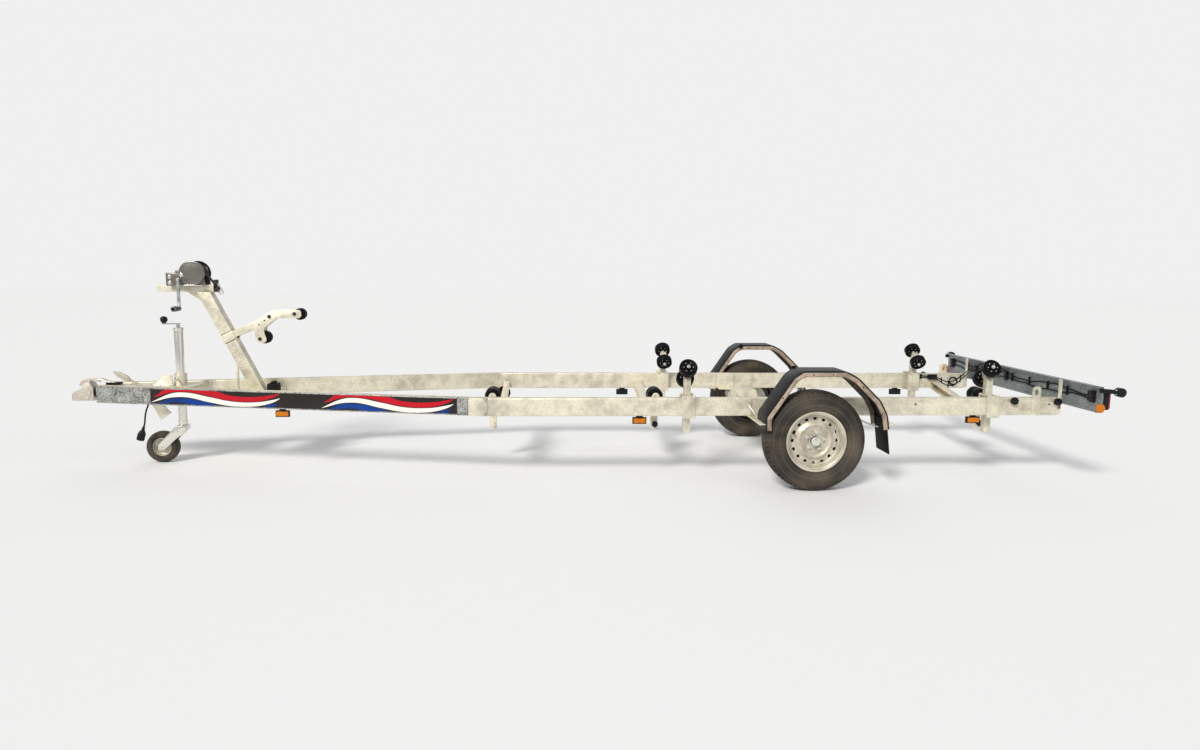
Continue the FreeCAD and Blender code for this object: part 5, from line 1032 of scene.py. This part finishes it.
# %% Winch post
bm = bmesh.new()
for side in SIDES.values():
    for x in (-2.345, -2.105):
        bolt(bm, (x, 0.06 * side, 0.508), Z, 0.009)
piece("post_bolts", bm, zinc_plate)
bm = bmesh.new()
for side in SIDES.values():
    for step in (-4, -3, -2, -1, 1, 2, 3):
        middle = BAND_MIDDLE + up_post * 0.072 * step + off_post * 0.012 + Y * POST_SIDE / 2 * side
        block(bm, middle - Vector((0.012, 0.0002, 0.0015)), middle + Vector((0.012, 0.0002, 0.0015)), 0, lean)
piece("post_marks", bm, crank_steel)
bm = bmesh.new()
for sign in (-1, 1):
    for end in (-1, 1):
        middle = BAND_MIDDLE + up_post * 0.0332 * end + Y * 0.0404 * sign
        block(bm, middle - Vector((0.0395, 0.0004, 0.002)), middle + Vector((0.0395, 0.0004, 0.002)), 0, lean)
piece("band_shadows", bm, knob_plastic)
bm = bmesh.new()
block(bm, (-2.116, -0.052, 0.5082), (-2.038, 0.03, 0.572), 0.01)
block(bm, (-2.09, -0.044, 0.57), (-2.062, 0.02, 0.586), 0.005)
piece("foot_pad", bm, black_rubber)
print("post bolts, setting marks and foot pad")

# %% [markdown]
# ## Weld beads
# The frame is welded before it is dipped in zinc, so beads show where one tube meets another. A bead is a
# row of melted drops. Small balls that overlap along a line look like that and need no modelling.

# %% Weld beads
def weld(bm, corners, size=0.0036):
    """A row of overlapping drops from corner to corner."""
    for start, end in zip(corners, corners[1:]):
        start, end = Vector(start), Vector(end)
        count = max(2, round((end - start).length / size))
        for step in range(count):
            place = start.lerp(end, (step + 0.5) / count)
            bmesh.ops.create_icosphere(bm, subdivisions=1, radius=size * chance.uniform(0.92, 1.12),
                                       matrix=Matrix.Translation(place))


bm = bmesh.new()
weld(bm, [(-2.2177, -0.0405, 0.5085), (-2.1283, -0.0405, 0.5085), (-2.1283, 0.0405, 0.5085),
          (-2.2177, 0.0405, 0.5085), (-2.2177, -0.0405, 0.5085)])
for x in (-0.495, 0.575, 3.03):
    for side in SIDES.values():
        y = 0.6235 * side
        weld(bm, [(x, y, 0.45), (x, y, 0.512), (x + 0.06, y, 0.512), (x + 0.06, y, 0.45)])
print("weld drops:", len(bm.verts) // 12)
piece("weld_beads", bm, steel)

# %% [markdown]
# ## Mudguard holes and knobs
# The mudguards' folded lips have small punched holes. Cutting them would break up the big faces for
# little gain, so each is a dark disc that stands a hair proud of the lip and paints the shade in the hole.

# %% Lip holes
LIP_HOLES = ((1.27, 0.47), (1.345, 0.612), (1.535, 0.757), (1.66, 0.757), (1.856, 0.681), (1.985, 0.505))
# painted shade: dark discs stand for the shade within the punched holes
bm = bmesh.new()
for side in SIDES.values():
    for y, outward in ((0.9902, 0.0003), (0.7738, -0.0003)):
        for x, z in LIP_HOLES:
            rod(bm, (x, y * side, z), (x, (y + outward) * side, z), 0.0045, 14)
piece("lip_hole_shades", bm, knob_plastic)
bm = bmesh.new()
for side in SIDES.values():
    turned(bm, [(0, 0), (16, 0), (18, 4), (18, 14), (14, 18), (0, 18)],
           (1.473, 0.7745 * side, 0.774), -Y * side, 24)
piece("guard_knobs", bm, knob_plastic)
print("holes in the lips and two knobs")

# %% [markdown]
# ## Light board wiring
# The lamps' wires run along the front of the board under clips and go round to the lamps. They are held
# every few centimetres, so each is a bent bar in the shape it is clipped to.

# %% Wires, clips and lamp ribs
BOARD_FRONT = 3.386
WIRE_X = BOARD_FRONT - 0.006
wires = {
    "board_wire_upper": [(WIRE_X, y, 0.63 + 0.012 * math.sin(y * 9) + 0.006 * math.sin(y * 31))
                         for y in [-0.98 + 0.07 * step for step in range(29)]],
    "board_wire_lower": [(WIRE_X - 0.001, y, 0.598 + 0.01 * math.sin(y * 7 + 1) + 0.006 * math.sin(y * 23))
                         for y in [-0.95 + 0.07 * step for step in range(28)]],
}
for name, points in wires.items():
    bent_bar(name, points, 0.004, black_rubber, 4)
bm = bmesh.new()
for index in range(9):
    y = -0.92 + 0.23 * index
    block(bm, (BOARD_FRONT - 0.013, y - 0.006, 0.588), (BOARD_FRONT - 0.0002, y + 0.006, 0.65), 0.002)
piece("wire_clips", bm, knob_plastic)
bm = bmesh.new()
for side in SIDES.values():
    y = 1.009 * side
    for index in range(9):
        z = 0.556 + index * 0.0125
        block(bm, (3.441, y - 0.038, z), (3.4432, y + 0.038, z + 0.0045), 0.0008)
piece("lens_ribs", bm, red_lens)
print("wires, clips and lens ribs")

# %% [markdown]
# ## Leads from the rail to the board
# The lamps' leads come out of the far rail through a gland, lie on its inner face and cross over to the
# board, with the spare length tied in a small ring. Ties hold all of it, so these are bent bars too. The
# joints between leads hide in small moulded boxes, as they do on the real trailer.

# %% Rail leads
LEAD, HAIR = 0.0035, 0.0002
ON_RAIL, ON_BOARD = RAIL_INSIDE - HAIR, BOARD_FRONT - HAIR
UPPER_RUN = [(2.95, 0.55), (2.99, 0.54), (3.04, 0.549), (3.1, 0.53), (3.15, 0.503), (3.2, 0.494),
             (3.25, 0.512), (3.295, 0.545)]
LOWER_RUN = [(2.95, 0.534), (3, 0.529), (3.06, 0.536), (3.11, 0.507), (3.16, 0.472), (3.21, 0.462),
             (3.26, 0.481), (3.298, 0.521)]


def along_rail(run):
    """Places where a lead lies against the far rail's inner face."""
    return [(x, ON_RAIL - LEAD, z) for x, z in run]


ring = []
for step in range(27):
    angle = math.tau * step / 12
    reach = 0.033 + 0.004 * math.sin(2.3 * angle)
    ring.append((3.222 + reach * math.cos(angle), 0.6118 - HAIR * step, 0.506 + reach * math.sin(angle)))
waves = [(WIRE_X, 0.49 - 0.04 * step, 0.663 + 0.006 * (-1) ** step) for step in range(10)]
rail_leads = {
    "rail_lead_upper": along_rail(UPPER_RUN) + [
        (3.33, 0.611, 0.582), (3.362, 0.598, 0.612), (WIRE_X, 0.572, 0.624)],
    "rail_lead_lower": along_rail(LOWER_RUN) + [
        (3.332, 0.609, 0.562), (3.364, 0.594, 0.592), (WIRE_X, 0.57, 0.604)],
    "board_lead_top": [(WIRE_X, 0.53, 0.632)] + waves + [(WIRE_X, 0.095, 0.64)],
    "spare_lead_ring": ring}
for name, points in rail_leads.items():
    bent_bar(name, points, LEAD, black_rubber, 4)
bm = bmesh.new()
for low, high_x, high_z in (((2.934, 0.613, 0.523), 2.958, 0.561), ((3.006, 0.601, 0.52), 3.082, 0.561)):
    block(bm, low, (high_x, ON_RAIL, high_z), 0.004)
for y, width, low_z, high_z in ((0.551, 0.054, 0.59, 0.641), (0.082, 0.044, 0.586, 0.652),
                                (-0.962, 0.052, 0.58, 0.654), (0.962, 0.052, 0.58, 0.654)):
    block(bm, (BOARD_FRONT - 0.019, y - width / 2, low_z), (ON_BOARD, y + width / 2, high_z), 0.004)
for x, z, reach in ((3.128, 0.504, 0.028), (3.188, 0.478, 0.03), (3.287, 0.525, 0.03)):
    block(bm, (x - 0.004, 0.6155, z - reach), (x + 0.004, ON_RAIL, z + reach), 0.0015)
block(bm, (3.216, 0.599, 0.462), (3.224, ON_RAIL, 0.484), 0.0015)
for y in (0.43, 0.31, 0.19):
    block(bm, (BOARD_FRONT - 0.0115, y - 0.004, 0.652), (ON_BOARD, y + 0.004, 0.676), 0.0015)
piece("lead_boxes", bm, knob_plastic)
print(len(rail_leads), "leads and their boxes")

# %% [markdown]
# ## Lamps at the ends
# The marker arms at the board's ends show a clear lens to the front and a red one to the rear. Round amber
# reflectors face outwards from the board, and the side markers have fine ribs.

# %% Marker lamps and reflectors
MARKER_DOME = [(0, 21.5), (18, 21.5), (17.2, 24.5), (12, 27), (0, 28.5)]
for end, facing, finish in (("front", -X, clear_lens), ("rear", X, red_lens)):
    bm = bmesh.new()
    for side in SIDES.values():
        turned(bm, MARKER_DOME, (3.445, 1.128 * side, 0.667), facing, 32)
    piece(f"marker_lens_{end}", bm, finish)
bm = bmesh.new()
for side in SIDES.values():
    turned(bm, [(0, 0), (29, 0), (29, 2.2), (26.5, 2.2), (26, 0.8), (20, 0.8), (19.5, 1.8), (12, 1.8),
                (11.5, 0.8), (0, 2)], (3.3703, 1.0633 * side, 0.554), Y * side, 40)
    for x, y in ((-1.915, 0.38), (0.48, 0.6723), (2.75, 0.6723)):
        for index in range(7):
            rib = x - 0.03 + index * 0.01
            block(bm, (rib - 0.0018, y * side - 0.001, 0.399), (rib + 0.0018, y * side + 0.001, 0.423), 0.0005)
piece("amber_ribs", bm, amber_lens)
print("marker lamps, reflectors and side marker ribs")

# %% [markdown]
# ## Floor and light
# A pale floor catches soft shadows. One wide soft sun stands high on the camera's left, a weaker one
# fills from the right and a third lifts the far side. The surroundings are seen as a clean
# near-white, but they light the trailer with less than that, so that its own shades stay.

# %% Stage and light
bm = bmesh.new()
bmesh.ops.create_grid(bm, x_segments=1, y_segments=1, size=40)
floor_mesh = bpy.data.meshes.new("floor")
bm.to_mesh(floor_mesh)
bm.free()
floor = bpy.data.objects.new("floor", floor_mesh)
bpy.context.scene.collection.objects.link(floor)
pale = Finish("pale_floor", roughness=0.9)
pale.shader.inputs["Base Color"].default_value = (0.905, 0.92, 0.95, 1)
floor_mesh.materials.append(pale.material)


def soft_sun(name, source, strength, spread, colour=(1, 1, 1)):
    """Parallel light from a wide disc in the sky, so it is as strong on the far floor as on the near."""
    data = bpy.data.lights.new(name, "SUN")
    data.energy = strength
    data.angle = math.radians(spread)
    data.color = colour
    light = bpy.data.objects.new(name, data)
    light.matrix_world = steered(source)
    bpy.context.scene.collection.objects.link(light)


soft_sun("key", (-0.42, -0.72, 0.62), 2.5, 14, (1, 0.965, 0.89))
soft_sun("fill", (0.75, -0.45, 0.45), 0.35, 60)
soft_sun("back", (0.1, 0.8, 0.6), 0.45, 60)
world = bpy.data.worlds.new("studio")
world.use_nodes = True
backdrop = world.node_tree.nodes["Background"]
seen = world.node_tree.nodes.new("ShaderNodeLightPath")
strength = world.node_tree.nodes.new("ShaderNodeMapRange")
strength.inputs["To Min"].default_value = 0.36
strength.inputs["To Max"].default_value = 0.872
world.node_tree.links.new(seen.outputs["Is Camera Ray"], strength.inputs["Value"])
world.node_tree.links.new(strength.outputs["Result"], backdrop.inputs["Strength"])
backdrop.inputs["Color"].default_value = (1, 1, 1, 1)
bpy.context.scene.world = world
bpy.context.scene.view_settings.view_transform = "Standard"
print("lights and floor set")
